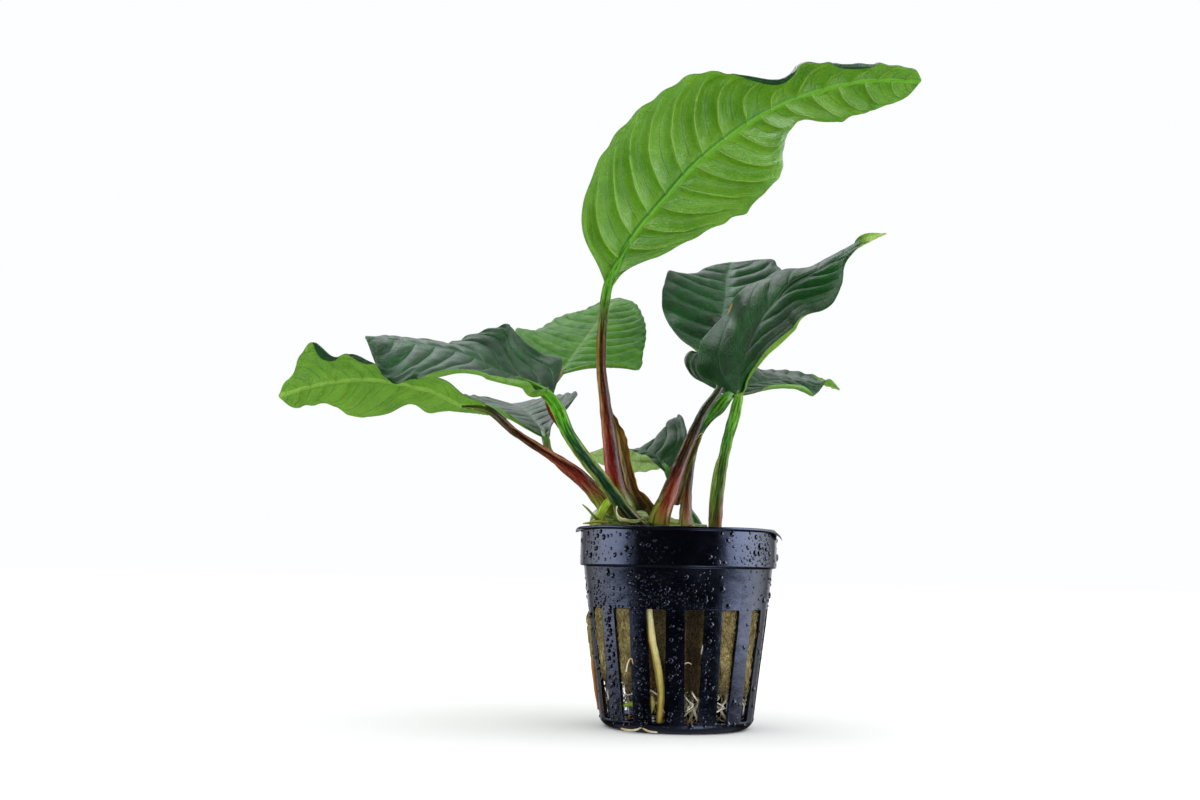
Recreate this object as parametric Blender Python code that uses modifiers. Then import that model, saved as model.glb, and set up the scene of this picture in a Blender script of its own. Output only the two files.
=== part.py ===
"""Potted broad-leaved aquarium plant: nine stalked leaves on a creeping rhizome, in a slotted net pot.

Metres, +Z up. The origin is the middle of the pot's base and -Y is the front.
Lengths below are in millimetres and are scaled by MM when a mesh or curve is made.
"""

import math

import bmesh
import bpy
import numpy as np

MM = 0.001
GAP = 0.3

# Net pot
POT_HEIGHT = 51.0
LIP_RADIUS = 27.0
LIP_THICKNESS = 0.7
COLLAR_RADIUS = 25.5
STEP_HEIGHT = 41.0
BODY_TOP_RADIUS = 24.45
BODY_MIDDLE_HEIGHT = 26.0
BODY_MIDDLE_RADIUS = 22.95
BODY_BASE_RADIUS = 19.55
FOOT_RADIUS = 18.0
WALL = 0.8
FLOOR = 1.2
POT_SIDES = 60

# The slots narrow towards the base. The first is the one at the back.
SLOT_COUNT = 15
SLOT_FIRST_ANGLE = math.radians(88.7)
SLOT_BOTTOM = 2.5
SLOT_TOP = 30.5
SLOT_BOTTOM_WIDTH = 3.5
SLOT_TOP_WIDTH = 5.2

# Radial drain slots in the floor plate, between a solid middle disc and the foot ring
DRAIN_COUNT = 10
DRAIN_WIDTH = 2.4
DRAIN_INNER = 6.0
DRAIN_OUTER = 16.5

# Rockwool plug
PLUG_BOTTOM = 9.5
PLUG_TOP = 47.2
PLUG_CLEARANCE = 0.5
PLUG_SIDES = 30

# Leaves
BLADE_THICKNESS = 0.65
BLADE_ROW_LENGTH = 4.8
BLADE_COLUMNS = 3
STALK_POINTS = 11
CURVE_SAMPLES = 60
LIFT_POWER = 1.5


def smooth_path(points, count):
    """A smooth curve through the points, read at count + 1 places an equal length apart."""
    knots = np.array(points, dtype=float)
    ends = np.vstack([2 * knots[0] - knots[1], knots, 2 * knots[-1] - knots[-2]])
    dense = []
    for a, b, c, d in zip(ends, ends[1:], ends[2:], ends[3:]):
        for step in range(CURVE_SAMPLES):
            t = step / CURVE_SAMPLES
            linear = (c - a) * t
            square = (2 * a - 5 * b + 4 * c - d) * t**2
            cube = (3 * b - a - 3 * c + d) * t**3
            dense.append((2 * b + linear + square + cube) / 2)
    dense = np.array(dense + [knots[-1]])
    run = np.concatenate([[0], np.cumsum(np.linalg.norm(np.diff(dense[:, :3], axis=0), axis=1))])
    places = np.linspace(0, run[-1], count + 1)
    return np.stack([np.interp(places, run, column) for column in dense.T], axis=1)


def smooth_values(stations, places):
    """Each station is (place, value, ...). The values at the places, on a smooth curve through them."""
    table = np.array(stations, dtype=float)
    x, y = table[:, 0], table[:, 1:]
    slope = np.gradient(y, x, axis=0)
    k = np.clip(np.searchsorted(x, places, side="right") - 1, 0, len(x) - 2)
    span = (x[k + 1] - x[k])[:, None]
    t = (places - x[k])[:, None] / span
    start = (1 + 2 * t) * (1 - t) ** 2 * y[k] + t * (1 - t) ** 2 * span * slope[k]
    end = t**2 * (3 - 2 * t) * y[k + 1] - t**2 * (1 - t) * span * slope[k + 1]
    return start + end


def blade_frames(path, rolls):
    """Side and upper directions along a midrib. Roll turns the blade about it, right edge downwards."""
    along = np.gradient(path, axis=0)
    along /= np.linalg.norm(along, axis=1)[:, None]
    upper = np.array([0.0, 0.0, 1.0]) - along[:, 2:] * along
    upper /= np.linalg.norm(upper, axis=1)[:, None]
    right = np.cross(along, upper)
    places = np.linspace(0, 1, len(path))
    angle = np.radians(np.interp(places, np.linspace(0, 1, len(rolls)), rolls))[:, None]
    return right * np.cos(angle) - upper * np.sin(angle), upper * np.cos(angle) + right * np.sin(angle)


def blade_surface(midrib, roll, left, right, base_width, tip_width):
    """Rows of points over a blade, from its left edge to its right edge, looking from base to tip."""
    length = np.linalg.norm(np.diff(np.array(midrib, dtype=float), axis=0), axis=1).sum()
    rows = round(length / BLADE_ROW_LENGTH)
    path = smooth_path(midrib, rows)
    side, upper = blade_frames(path, roll)
    places = np.linspace(0, 1, rows + 1)
    grid = []
    for edge, sign in ((left, -1), (right, 1)):
        stations = [(0.0, base_width, 0.0), *edge, (1.0, tip_width, 0.0)]
        width, lift = smooth_values(stations, places).T[:, :, None]
        for column in range(BLADE_COLUMNS, 0, -1) if sign < 0 else range(1, BLADE_COLUMNS + 1):
            share = column / BLADE_COLUMNS
            grid.append(path + sign * side * width * share + upper * lift * share**LIFT_POWER)
        if sign < 0:
            grid.append(path)
    return np.stack(grid, axis=1)


def material(name, colour, roughness):
    made = bpy.data.materials.new(name)
    made.use_nodes = True
    shader = made.node_tree.nodes["Principled BSDF"]
    shader.inputs["Base Color"].default_value = (*colour, 1)
    shader.inputs["Roughness"].default_value = roughness
    shader.inputs["Metallic"].default_value = 0
    return made


def mesh_object(name, vertices, faces, surface, collection):
    mesh = bpy.data.meshes.new(name)
    mesh.from_pydata([tuple(MM * value for value in vertex) for vertex in vertices], [], faces)
    mesh.update()
    mesh.shade_smooth()
    thing = bpy.data.objects.new(name, mesh)
    collection.objects.link(thing)
    if surface:
        mesh.materials.append(surface)
    return thing


def blade(name, shape, surface, collection):
    """A thin closed blade: an open surface thickened to both sides."""
    grid = blade_surface(**shape, base_width=1.1, tip_width=0.4)
    rows, columns = grid.shape[:2]
    faces = []
    for row in range(rows - 1):
        for column in range(columns - 1):
            first = row * columns + column
            faces.append((first, first + 1, first + columns + 1, first + columns))
    thing = mesh_object(name, grid.reshape(-1, 3), faces, surface, collection)
    shell = thing.modifiers.new("Thickness", "SOLIDIFY")
    shell.thickness = BLADE_THICKNESS * MM
    shell.offset = 0
    return thing


def tube(name, points, surface, collection, count=STALK_POINTS, resolution=2):
    """A round stalk or root. Each point is x, y, z and radius."""
    route = smooth_path(points, count)
    curve = bpy.data.curves.new(name, "CURVE")
    curve.dimensions = "3D"
    curve.bevel_depth = MM
    curve.bevel_resolution = resolution
    curve.use_fill_caps = True
    spline = curve.splines.new("POLY")
    spline.points.add(len(route) - 1)
    for point, (x, y, z, radius) in zip(spline.points, route):
        point.co = (x * MM, y * MM, z * MM, 1)
        point.radius = radius
    curve.materials.append(surface)
    thing = bpy.data.objects.new(name, curve)
    collection.objects.link(thing)
    return thing


def solid_from_curve(thing, collection):
    """The tube as a mesh, with its caps joined on, so that it can be cut or can cut."""
    evaluated = thing.evaluated_get(bpy.context.evaluated_depsgraph_get())
    mesh = bpy.data.meshes.new_from_object(evaluated)
    made = bpy.data.objects.new(thing.name, mesh)
    made.matrix_world = thing.matrix_world
    name = thing.name
    bpy.data.objects.remove(thing)
    made.name = name
    collection.objects.link(made)
    shape = bmesh.new()
    shape.from_mesh(mesh)
    bmesh.ops.remove_doubles(shape, verts=shape.verts, dist=0.00001)
    bmesh.ops.recalc_face_normals(shape, faces=shape.faces)
    shape.to_mesh(mesh)
    shape.free()
    return made


def turned(name, profile, sides, surface, collection):
    """A solid of revolution from a half profile that starts and ends on the axis."""
    vertices = [(radius, 0, height) for radius, height in profile]
    mesh = bpy.data.meshes.new(name)
    edges = [(index, index + 1) for index in range(len(vertices) - 1)]
    mesh.from_pydata([tuple(MM * value for value in vertex) for vertex in vertices], edges, [])
    mesh.materials.append(surface)
    thing = bpy.data.objects.new(name, mesh)
    collection.objects.link(thing)
    screw = thing.modifiers.new("Turn", "SCREW")
    screw.axis = "Z"
    screw.steps = sides
    screw.render_steps = sides
    screw.use_merge_vertices = True
    screw.merge_threshold = 0.00001
    screw.use_smooth_shade = True
    return thing


def cut(thing, cutter, name):
    boolean = thing.modifiers.new(name, "BOOLEAN")
    boolean.operation = "DIFFERENCE"
    boolean.solver = "EXACT"
    boolean.object = cutter
    cutter.hide_render = True
    cutter.display_type = "WIRE"


def radial_boxes(name, count, first_angle, radii, heights, half_width, collection):
    """Boxes spread round the axis. half_width gives a box's half width at a radius and a height."""
    vertices = []
    faces = []
    for index in range(count):
        angle = first_angle + index * 2 * math.pi / count
        ahead = np.array([math.cos(angle), math.sin(angle)])
        aside = np.array([-ahead[1], ahead[0]])
        base = len(vertices)
        for height in heights:
            for radius in radii:
                for sign in (-1, 1):
                    vertices.append((*(ahead * radius + aside * half_width(radius, height) * sign), height))
        quads = ((0, 1, 3, 2), (4, 6, 7, 5), (0, 4, 5, 1), (2, 3, 7, 6), (0, 2, 6, 4), (1, 5, 7, 3))
        faces += [tuple(base + corner for corner in quad) for quad in quads]
    return mesh_object(name, vertices, faces, None, collection)


def body_radius(height):
    """Outer radius of the pot's body, which tapers a little more in its lower part."""
    heights = (0.0, BODY_MIDDLE_HEIGHT, STEP_HEIGHT)
    radii = (BODY_BASE_RADIUS, BODY_MIDDLE_RADIUS, BODY_TOP_RADIUS)
    return float(np.interp(height, heights, radii))


def slot_half_width(radius, height):
    """Half the width of a slot. Its sides are flat, splay outwards and come together towards the base."""
    share = (height - SLOT_BOTTOM) / (SLOT_TOP - SLOT_BOTTOM)
    half = (SLOT_BOTTOM_WIDTH + (SLOT_TOP_WIDTH - SLOT_BOTTOM_WIDTH) * share) / 2
    wall = body_radius(SLOT_BOTTOM) + (body_radius(SLOT_TOP) - body_radius(SLOT_BOTTOM)) * share
    return half + (radius - wall) * math.tan(math.pi / SLOT_COUNT / 2)


def pot(surface, collection, cutters):
    lip_top = POT_HEIGHT
    lip_under = POT_HEIGHT - LIP_THICKNESS
    outer = [
        (COLLAR_RADIUS - WALL + 0.2, lip_top),
        (LIP_RADIUS - 0.3, lip_top - 0.1),
        (LIP_RADIUS, lip_under),
        (COLLAR_RADIUS + 0.1, lip_under - 0.1),
        (COLLAR_RADIUS, STEP_HEIGHT + 0.4),
        (COLLAR_RADIUS - 0.3, STEP_HEIGHT),
        (body_radius(STEP_HEIGHT), STEP_HEIGHT - 0.3),
        (BODY_MIDDLE_RADIUS, BODY_MIDDLE_HEIGHT),
        (body_radius(1.8), 1.8),
        (FOOT_RADIUS + 1.1, 0.6),
        (FOOT_RADIUS, 0.0),
        (0.0, 0.0),
    ]
    inner = [
        (0.0, FLOOR),
        (body_radius(FLOOR) - WALL - 0.1, FLOOR),
        (BODY_MIDDLE_RADIUS - WALL, BODY_MIDDLE_HEIGHT),
        (body_radius(STEP_HEIGHT) - WALL, STEP_HEIGHT - 0.8),
        (COLLAR_RADIUS - WALL, STEP_HEIGHT),
    ]
    thing = turned("pot", inner + outer, POT_SIDES, surface, collection)
    radii = (BODY_BASE_RADIUS - 2.5, BODY_TOP_RADIUS + 1.5)
    heights = (SLOT_BOTTOM, SLOT_TOP)
    slots = radial_boxes("slot_cutter", SLOT_COUNT, SLOT_FIRST_ANGLE, radii, heights, slot_half_width, cutters)
    cut(thing, slots, "Slots")
    radii = (DRAIN_INNER, DRAIN_OUTER)
    heights = (-1.0, FLOOR + 1.0)
    drains = radial_boxes("drain_cutter", DRAIN_COUNT, 0, radii, heights, lambda *_: DRAIN_WIDTH / 2, cutters)
    cut(thing, drains, "Drains")
    return thing


def plug_radius(height):
    return body_radius(height) - WALL - PLUG_CLEARANCE


def plug(surface, collection, cutters, root):
    """The rockwool plug, with a channel for the root that runs down its front."""
    profile = [
        (0.0, PLUG_TOP),
        (plug_radius(STEP_HEIGHT) - 1.0, PLUG_TOP),
        (plug_radius(STEP_HEIGHT), PLUG_TOP - 1.0),
        (plug_radius(STEP_HEIGHT), STEP_HEIGHT - 1.5),
        (plug_radius(BODY_MIDDLE_HEIGHT), BODY_MIDDLE_HEIGHT),
        (plug_radius(PLUG_BOTTOM + 1.0), PLUG_BOTTOM + 1.0),
        (plug_radius(PLUG_BOTTOM) - 1.5, PLUG_BOTTOM),
        (0.0, PLUG_BOTTOM),
    ]
    thing = turned("rockwool_plug", profile, PLUG_SIDES, surface, collection)
    channel = [(x, y, z, radius + GAP) for x, y, z, radius in root]
    x, y, z, radius = channel[0]
    channel.insert(0, (x, y, z + 2, radius))
    tool = tube("root_channel_cutter", channel, surface, cutters, count=10)
    cut(thing, solid_from_curve(tool, cutters), "Root channel")
    return thing


# Midribs are x, y, z from the base of the blade to its tip. A roll is the blade's turn about its midrib, in
# degrees, at even steps from base to tip. Each edge station is the place along the midrib, the half width there
# and how far the edge stands above the blade's plane.
BLADES = {
    "tall": dict(
        midrib=[(-19, -12, 113.5), (-13.5, -16, 124.5), (-4.5, -20, 135), (4.5, -24, 144),
                (19, -30, 153.5), (33.5, -33, 159), (46, -33, 161.5), (58.5, -31, 162)],
        roll=(-38, -42, -44, -36, -25),
        left=[(0.13, 10, 2), (0.25, 14, 0.5), (0.36, 18, 0.5), (0.46, 18.5, 0), (0.52, 17.5, 1), (0.58, 14, 3),
              (0.66, 10.5, 6), (0.76, 14, 4), (0.86, 12, 1), (0.95, 7, -0.5)],
        right=[(0.08, 10, 1), (0.14, 15, 1), (0.21, 18.5, 0), (0.33, 21, -1.5), (0.44, 20.5, -2), (0.54, 18, -2),
               (0.6, 12.5, -3.5), (0.66, 9.5, -6.5), (0.73, 12, -6), (0.8, 10, -4.5), (0.95, 3.5, -0.5)],
    ),
    "low_left": dict(
        midrib=[(-51, -7, 82), (-57, -8, 82), (-62.5, -9, 84.5), (-67.5, -10, 86), (-77, -12, 87.5),
                (-85, -14, 87.5), (-94.5, -16, 85.5), (-103, -17, 82.5)],
        roll=(20, 28, 30, 30, 25),
        left=[(0.1, 4, 0), (0.2, 6.5, 0), (0.3, 8.5, -2), (0.44, 10, -2.5), (0.58, 10.5, -2.5),
              (0.7, 12.5, -2), (0.79, 14, 2.5), (0.85, 10.5, 2.5), (0.92, 5, 1)],
        right=[(0.12, 3.5, -0.5), (0.23, 8.5, -0.5), (0.36, 10.5, 1.5), (0.46, 14, 0), (0.58, 15, -1.5),
               (0.68, 14, -1), (0.77, 10.5, 0.5), (0.9, 9, 1)],
    ),
    "long_left": dict(
        midrib=[(-34.5, -16, 84.5), (-40, -17, 87.5), (-45.5, -19, 89.5), (-51, -21, 92),
                (-57, -24, 94), (-65, -27, 95), (-72.5, -30, 95.5), (-78, -32, 96)],
        roll=(-30, -32, -32, -30, -30),
        left=[(0.08, 7, 0.5), (0.16, 10, 1.5), (0.24, 12, 2), (0.39, 15.5, 2), (0.55, 17, 1.5),
              (0.66, 18, -0.5), (0.8, 17.5, -2.5), (0.9, 14.5, -3.5)],
        right=[(0.04, 13.5, 3), (0.12, 18.5, 2), (0.22, 21, 5), (0.31, 21, 4), (0.38, 17.5, 1),
               (0.46, 14, -1.5), (0.68, 11, -3), (0.88, 6, -2)],
    ),
    "rear_left": dict(
        midrib=[(-32.5, 4, 92), (-30, 14, 98), (-27.5, 24, 104), (-24.5, 36, 111), (-22, 46, 117), (-19, 56, 122)],
        roll=(0, 0, 0),
        left=[(0.06, 4.5, 0.5), (0.17, 10, 2.5), (0.3, 17, 3.5), (0.44, 20.5, 3), (0.54, 19, 0),
              (0.65, 16.5, -1), (0.75, 14, -1), (0.86, 9, -1)],
        right=[(0.04, 10, 0.5), (0.12, 16, -2), (0.22, 18, -4.5), (0.39, 17, -4), (0.58, 15, -2.5),
               (0.74, 12, -1.5), (0.89, 7, 0)],
    ),
    "small_left": dict(
        midrib=[(-36, 4, 75), (-39, 12, 79), (-43, 24, 83.5), (-47, 37, 86.5), (-50.5, 50, 88.5)],
        roll=(0, 0, 0),
        left=[(0.06, 7, 2), (0.14, 11, 3.5), (0.23, 15, 3), (0.32, 18.5, 1), (0.44, 22, 0),
              (0.6, 21.5, 0.5), (0.77, 16, 2.5), (0.9, 9.5, 2)],
        right=[(0.09, 3, 1.5), (0.19, 7, 3.5), (0.3, 10.5, 5), (0.45, 14, 6), (0.61, 12, 4.5), (0.8, 8, 2.5), (0.93, 4.5, 1)],
    ),
    "front_right": dict(
        midrib=[(15, -6, 85.5), (16, -9, 92), (18, -12, 97.5), (20.5, -15, 102.5), (24, -18, 107.5),
                (28, -20, 112.5), (35, -20, 116.5), (42.5, -18, 121.5), (47.5, -16, 125), (52, -14, 127)],
        roll=(88, 75, 60, 45, 35),
        left=[(0.06, 11, 8.5), (0.12, 17, 6.5), (0.2, 19, 1), (0.28, 19, 0.5), (0.35, 17, 0.5),
              (0.43, 14.5, -2), (0.5, 11.5, -4), (0.61, 7.5, -5), (0.74, 4.5, -3), (0.86, 2.5, -1)],
        right=[(0.06, 2.5, -1), (0.16, 6, -0.5), (0.27, 9, -0.5), (0.4, 11, -1), (0.54, 13.5, 1),
               (0.62, 12.5, 1.5), (0.68, 8.5, 1), (0.75, 3.5, 0.5), (0.86, 1.5, 0.5)],
    ),
    "rear_right": dict(
        midrib=[(11, 8, 92.5), (10.5, 14, 98.5), (11, 20, 105.5), (12, 27, 112.5), (13, 35, 119),
                (13.5, 45, 126), (15, 57, 133.5)],
        roll=(10, 10, 10),
        left=[(0.07, 4.5, 2), (0.14, 8.5, 2), (0.22, 12.5, 1.5), (0.36, 17, 1), (0.52, 18.5, 2.5),
              (0.62, 18, 2), (0.72, 16.5, 1.5), (0.82, 10.5, -0.5), (0.93, 5.5, 0)],
        right=[(0.05, 5, 1.5), (0.12, 9, 4), (0.28, 14.5, 4), (0.47, 18.5, 3), (0.62, 18, 5), (0.76, 16, 5), (0.93, 10.5, 4)],
    ),
    "low_right": dict(
        midrib=[(13, 7.5, 87), (17.5, 13, 90.5), (26, 21, 93), (34.5, 28, 94), (41, 33, 93.5), (45.5, 36, 92.5)],
        roll=(24, 26, 24, 16, 12),
        left=[(0.05, 11.5, 0), (0.1, 16.5, 0.5), (0.18, 21, 1.5), (0.28, 21, 1.5), (0.52, 20.5, -0.5),
              (0.66, 18.5, -1.5), (0.8, 16.5, 0.5), (0.91, 11.5, 2)],
        right=[(0.05, 5.5, 1.5), (0.14, 7.5, 2), (0.29, 9, 2), (0.47, 10, 0.5), (0.6, 9, -2), (0.73, 6, -1), (0.86, 2.5, 1.5)],
    ),
    "centre": dict(
        midrib=[(-3, 5, 66.5), (-5.5, 9, 69.5), (-8, 13, 72), (-13.5, 19, 73), (-20, 25, 72), (-26.5, 30, 72)],
        roll=(-20, -32, -30, -20, -20),
        left=[(0.08, 5, 2.5), (0.16, 7, 1), (0.37, 10, -0.5), (0.58, 10, -1.5), (0.8, 6, -1.5)],
        right=[(0.08, 4, -0.5), (0.2, 8.5, -0.5), (0.3, 13, 0.5), (0.4, 16, 2), (0.52, 16, 2), (0.6, 14, 1), (0.85, 8.5, 0)],
    ),
}

# Stalks are x, y, z and radius, from the rhizome up to just below the blade.
STALKS = {
    "tall": [(-15.2, -1.8, 57.4, 2.2), (-16.3, -2.3, 61, 2.1), (-17.6, -3, 66, 1.9), (-18.6, -4, 74, 1.6),
             (-19.9, -6, 84, 1.3), (-20.7, -8.2, 92.5, 1.2), (-20.6, -10.2, 102, 1.2), (-19.3, -11.8, 112.8, 1.3)],
    "low_left": [(-20, 1, 57.6, 1.6), (-27, 1, 65, 1.2), (-35.5, -1, 70.5, 1), (-43.5, -3, 75.5, 1), (-50.2, -6.7, 81.2, 1)],
    "long_left": [(-9.2, -3.4, 50.8, 1.6), (-10.5, -6.5, 51.4, 1.7), (-13, -9, 53.5, 1.8), (-16, -10, 57.5, 1.8), (-20.5, -11, 62.5, 1.7),
                  (-25, -13, 68, 1.5), (-28.5, -15, 73.5, 1.4), (-31, -16, 79.5, 1.6), (-33.8, -16, 83.9, 1.4)],
    "rear_left": [(-16.5, 6.5, 56.6, 1.4), (-22, 7, 64.5, 1.1), (-27.5, 7, 72, 1), (-31.5, 6, 77, 1), (-35, 5, 82.5, 1),
                  (-35.5, 3.5, 87, 1), (-33, 3.4, 91.2, 1.1)],
    "small_left": [(-20.5, 4.5, 56.2, 1.1), (-25, 5, 61.5, 1), (-31.5, 4.5, 67, 0.9), (-34.8, 3.8, 71, 0.9), (-35.9, 3.7, 74.2, 1)],
    "front_right": [(9.5, 1.5, 50.5, 1.7), (10, 1, 58.5, 1.7), (11, 0, 66.5, 1.5), (12.5, -2, 74.5, 1.3), (14, -4, 80, 1.4),
                    (14.9, -5.7, 84.8, 1.4)],
    "rear_right": [(-4.7, -1.9, 54.5, 2.5), (-3, -1, 59, 2.1), (0, 0.5, 67.5, 1.6), (3, 1.5, 75, 1.4), (6, 2.6, 81.8, 1.2),
                   (8.2, 3.5, 85.2, 1.1), (10.2, 4.8, 88.2, 1.1), (10.9, 7.2, 91.5, 1.2)],
    "low_right": [(2, 1, 54, 1.8), (3, 3.5, 63.5, 1.4), (4.8, 5.5, 72, 1.2), (6.9, 6.5, 77.5, 1.1), (9.5, 7, 82.3, 1.4),
                  (12.3, 7.2, 86.2, 1.3)],
    "centre": [(4.5, 8, 53, 1.1), (1.5, 8.5, 57.5, 1), (-1, 7.5, 61.5, 1), (-2.9, 5.2, 65.6, 0.9)],
}

# The rhizome swells at each node, where a leaf leaves it.
RHIZOME = [(-22, 2.5, 52, 2.2), (-20, 2.5, 51.9, 3.5), (-17.5, 2.5, 51.8, 3.1), (-15, 2.5, 51.7, 3.6),
           (-12.5, 2.5, 51.6, 3.1), (-10, 2.5, 51.5, 3.5), (-7.5, 2.5, 51.3, 2.9), (-4.5, 2.5, 51.1, 3.3),
           (-1.5, 2.5, 50.9, 2.7), (1.5, 2.7, 50.7, 2.9), (4, 3, 50.4, 2.3), (7, 3.5, 50.1, 2.3)]

# The dried sheath that once wrapped the tall leaf's stalk, still standing beside it
SHEATH = dict(
    midrib=[(-10.4, -0.4, 56.2), (-11.3, -0.5, 58.5), (-12.6, -1, 62), (-13.7, -1.5, 66.3), (-15.5, -2, 73.9),
            (-16.9, -2.6, 78), (-18.1, -3.2, 81.9)],
    roll=(-90, -90),
    left=[(0.2, 1.7, -0.5), (0.5, 1.6, -0.8), (0.8, 1, -0.5)],
    right=[(0.08, 3, 0), (0.2, 1.8, -0.3), (0.5, 1.7, -0.8), (0.8, 1, -0.5)],
)

FRONT_ROOT = [(-6.9, -20, 33.5, 0.8), (-6.4, -20.1, 27.5, 0.8), (-5.8, -20.1, 22.5, 0.8), (-5.1, -20, 18, 0.85),
              (-4.4, -19.5, 14, 0.9), (-3.9, -18.8, 10, 0.85), (-3.9, -17.8, 6, 0.8), (-4.2, -17, 2.6, 0.75)]
LEFT_ROOT = [(-21.8, -1.9, 22, 0.6), (-21.6, -1.8, 15, 0.6), (-20.6, -1.7, 8, 0.5), (-19.9, -1.6, 4, 0.4)]
YOUNG_ROOT = [(-18.4, -3.4, 57.6, 0.9), (-20, -4, 54.8, 1.1), (-21.2, -4.6, 51.6, 1.1), (-21.3, -5, 48.6, 0.9)]
# Roots that leave the plug's underside and end just above the floor plate
LOWER_ROOTS = [
    [(-9, -11, 8.9, 0.6), (-10, -12, 6.5, 0.6), (-8, -13, 4, 0.5), (-8.5, -13.5, 2, 0.4)],
    [(5, -13, 8.9, 0.6), (6.5, -14, 6.5, 0.6), (6, -15.5, 4, 0.5), (7.5, -15, 2, 0.4)],
    [(12, -6, 8.9, 0.6), (13, -7, 6.5, 0.6), (14.5, -6.5, 4, 0.5), (14, -7.5, 2, 0.4)],
    [(-4, 10, 8.9, 0.6), (-5, 12, 6.5, 0.6), (-3.5, 13, 4, 0.5), (-4, 14, 2, 0.4)],
]


def clear_scene():
    for thing in list(bpy.data.objects):
        bpy.data.objects.remove(thing)


def main():
    clear_scene()
    plant = bpy.data.collections.new("potted_plant")
    cutters = bpy.data.collections.new("cutters")
    for collection in (plant, cutters):
        bpy.context.scene.collection.children.link(collection)

    black_plastic = material("black_plastic", (0.006, 0.006, 0.009), 0.25)
    rockwool = material("rockwool", (0.3, 0.24, 0.09), 0.95)
    leaf = material("leaf", (0.03, 0.12, 0.03), 0.4)
    stalk = material("stalk", (0.16, 0.08, 0.03), 0.4)
    rhizome = material("rhizome", (0.12, 0.2, 0.03), 0.5)
    root = material("root", (0.55, 0.48, 0.28), 0.6)
    sheath = material("dried_sheath", (0.4, 0.25, 0.06), 0.7)

    pot(black_plastic, plant, cutters)
    tube("front_root", FRONT_ROOT, root, plant, count=8)
    tube("left_root", LEFT_ROOT, root, plant, count=6)
    plug(rockwool, plant, cutters, FRONT_ROOT)
    tube("rhizome", RHIZOME, rhizome, plant, count=18, resolution=3)
    tube("young_root", YOUNG_ROOT, rhizome, plant, count=6)
    for number, points in enumerate(LOWER_ROOTS, start=1):
        tube(f"lower_root_{number}", points, root, plant, count=5, resolution=1)
    blade("dried_sheath", SHEATH, sheath, plant)
    for name, points in STALKS.items():
        tube(f"{name}_stalk", points, stalk, plant)
    for name, shape in BLADES.items():
        blade(f"{name}_blade", shape, leaf, plant)


main()
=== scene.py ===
"""Potted broad-leaved aquarium plant: its visible surface, light and camera.

Lengths in the tables are millimetres in the model's own frame: the origin is the middle of the pot's base, +Z
is up and -Y is the front. A leaf's left and right are seen from its base towards its tip, upper side up.
"""

import math

import bmesh
import bpy
import numpy as np
from mathutils import Matrix, Vector, noise


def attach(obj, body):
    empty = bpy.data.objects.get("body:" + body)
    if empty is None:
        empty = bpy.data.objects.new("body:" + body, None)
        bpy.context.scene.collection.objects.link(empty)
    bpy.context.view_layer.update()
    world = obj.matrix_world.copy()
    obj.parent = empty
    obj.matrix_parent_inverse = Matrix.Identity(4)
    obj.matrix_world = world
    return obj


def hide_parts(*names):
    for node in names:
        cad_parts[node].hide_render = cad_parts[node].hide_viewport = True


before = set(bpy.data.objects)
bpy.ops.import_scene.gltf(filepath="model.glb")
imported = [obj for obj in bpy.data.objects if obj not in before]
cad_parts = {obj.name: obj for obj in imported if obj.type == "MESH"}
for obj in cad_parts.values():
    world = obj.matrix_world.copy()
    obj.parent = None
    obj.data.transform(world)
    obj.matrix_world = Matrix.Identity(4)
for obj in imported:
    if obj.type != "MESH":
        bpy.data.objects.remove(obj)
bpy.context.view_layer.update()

MM = 0.001
CURVE_SAMPLES = 40

# Curves and surfaces


def smooth_path(points, count):
    """A smooth curve through the points, read at count + 1 places an equal length apart."""
    knots = np.array(points, dtype=float)
    ends = np.vstack([2 * knots[0] - knots[1], knots, 2 * knots[-1] - knots[-2]])
    dense = []
    for a, b, c, d in zip(ends, ends[1:], ends[2:], ends[3:]):
        t = (np.arange(CURVE_SAMPLES) / CURVE_SAMPLES)[:, None]
        cubic = (3 * b - a - 3 * c + d) * t**3
        dense.append((2 * b + (c - a) * t + (2 * a - 5 * b + 4 * c - d) * t**2 + cubic) / 2)
    dense = np.vstack([*dense, knots[-1:]])
    run = np.concatenate([[0], np.cumsum(np.linalg.norm(np.diff(dense[:, :3], axis=0), axis=1))])
    places = np.linspace(0, run[-1], count + 1)
    return np.stack([np.interp(places, run, column) for column in dense.T], axis=1)


def smooth_values(stations, places):
    """Each station is (place, value, ...). The values at the places, on a smooth curve through them."""
    table = np.array(stations, dtype=float)
    x, y = table[:, 0], table[:, 1:]
    slope = np.gradient(y, x, axis=0)
    k = np.clip(np.searchsorted(x, places, side="right") - 1, 0, len(x) - 2)
    span = (x[k + 1] - x[k])[:, None]
    t = (places - x[k])[:, None] / span
    start = (1 + 2 * t) * (1 - t) ** 2 * y[k] + t * (1 - t) ** 2 * span * slope[k]
    end = t**2 * (3 - 2 * t) * y[k + 1] - t**2 * (1 - t) * span * slope[k + 1]
    return start + end


def smooth_step(low, high, value):
    """Runs smoothly from 0 to 1 while the value runs from low to high."""
    t = np.clip((value - low) / (high - low), 0, 1)
    return t * t * (3 - 2 * t)


def unit(vectors):
    """The vectors with a length of 1."""
    return vectors / np.maximum(np.linalg.norm(vectors, axis=-1, keepdims=True), 1e-9)


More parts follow.
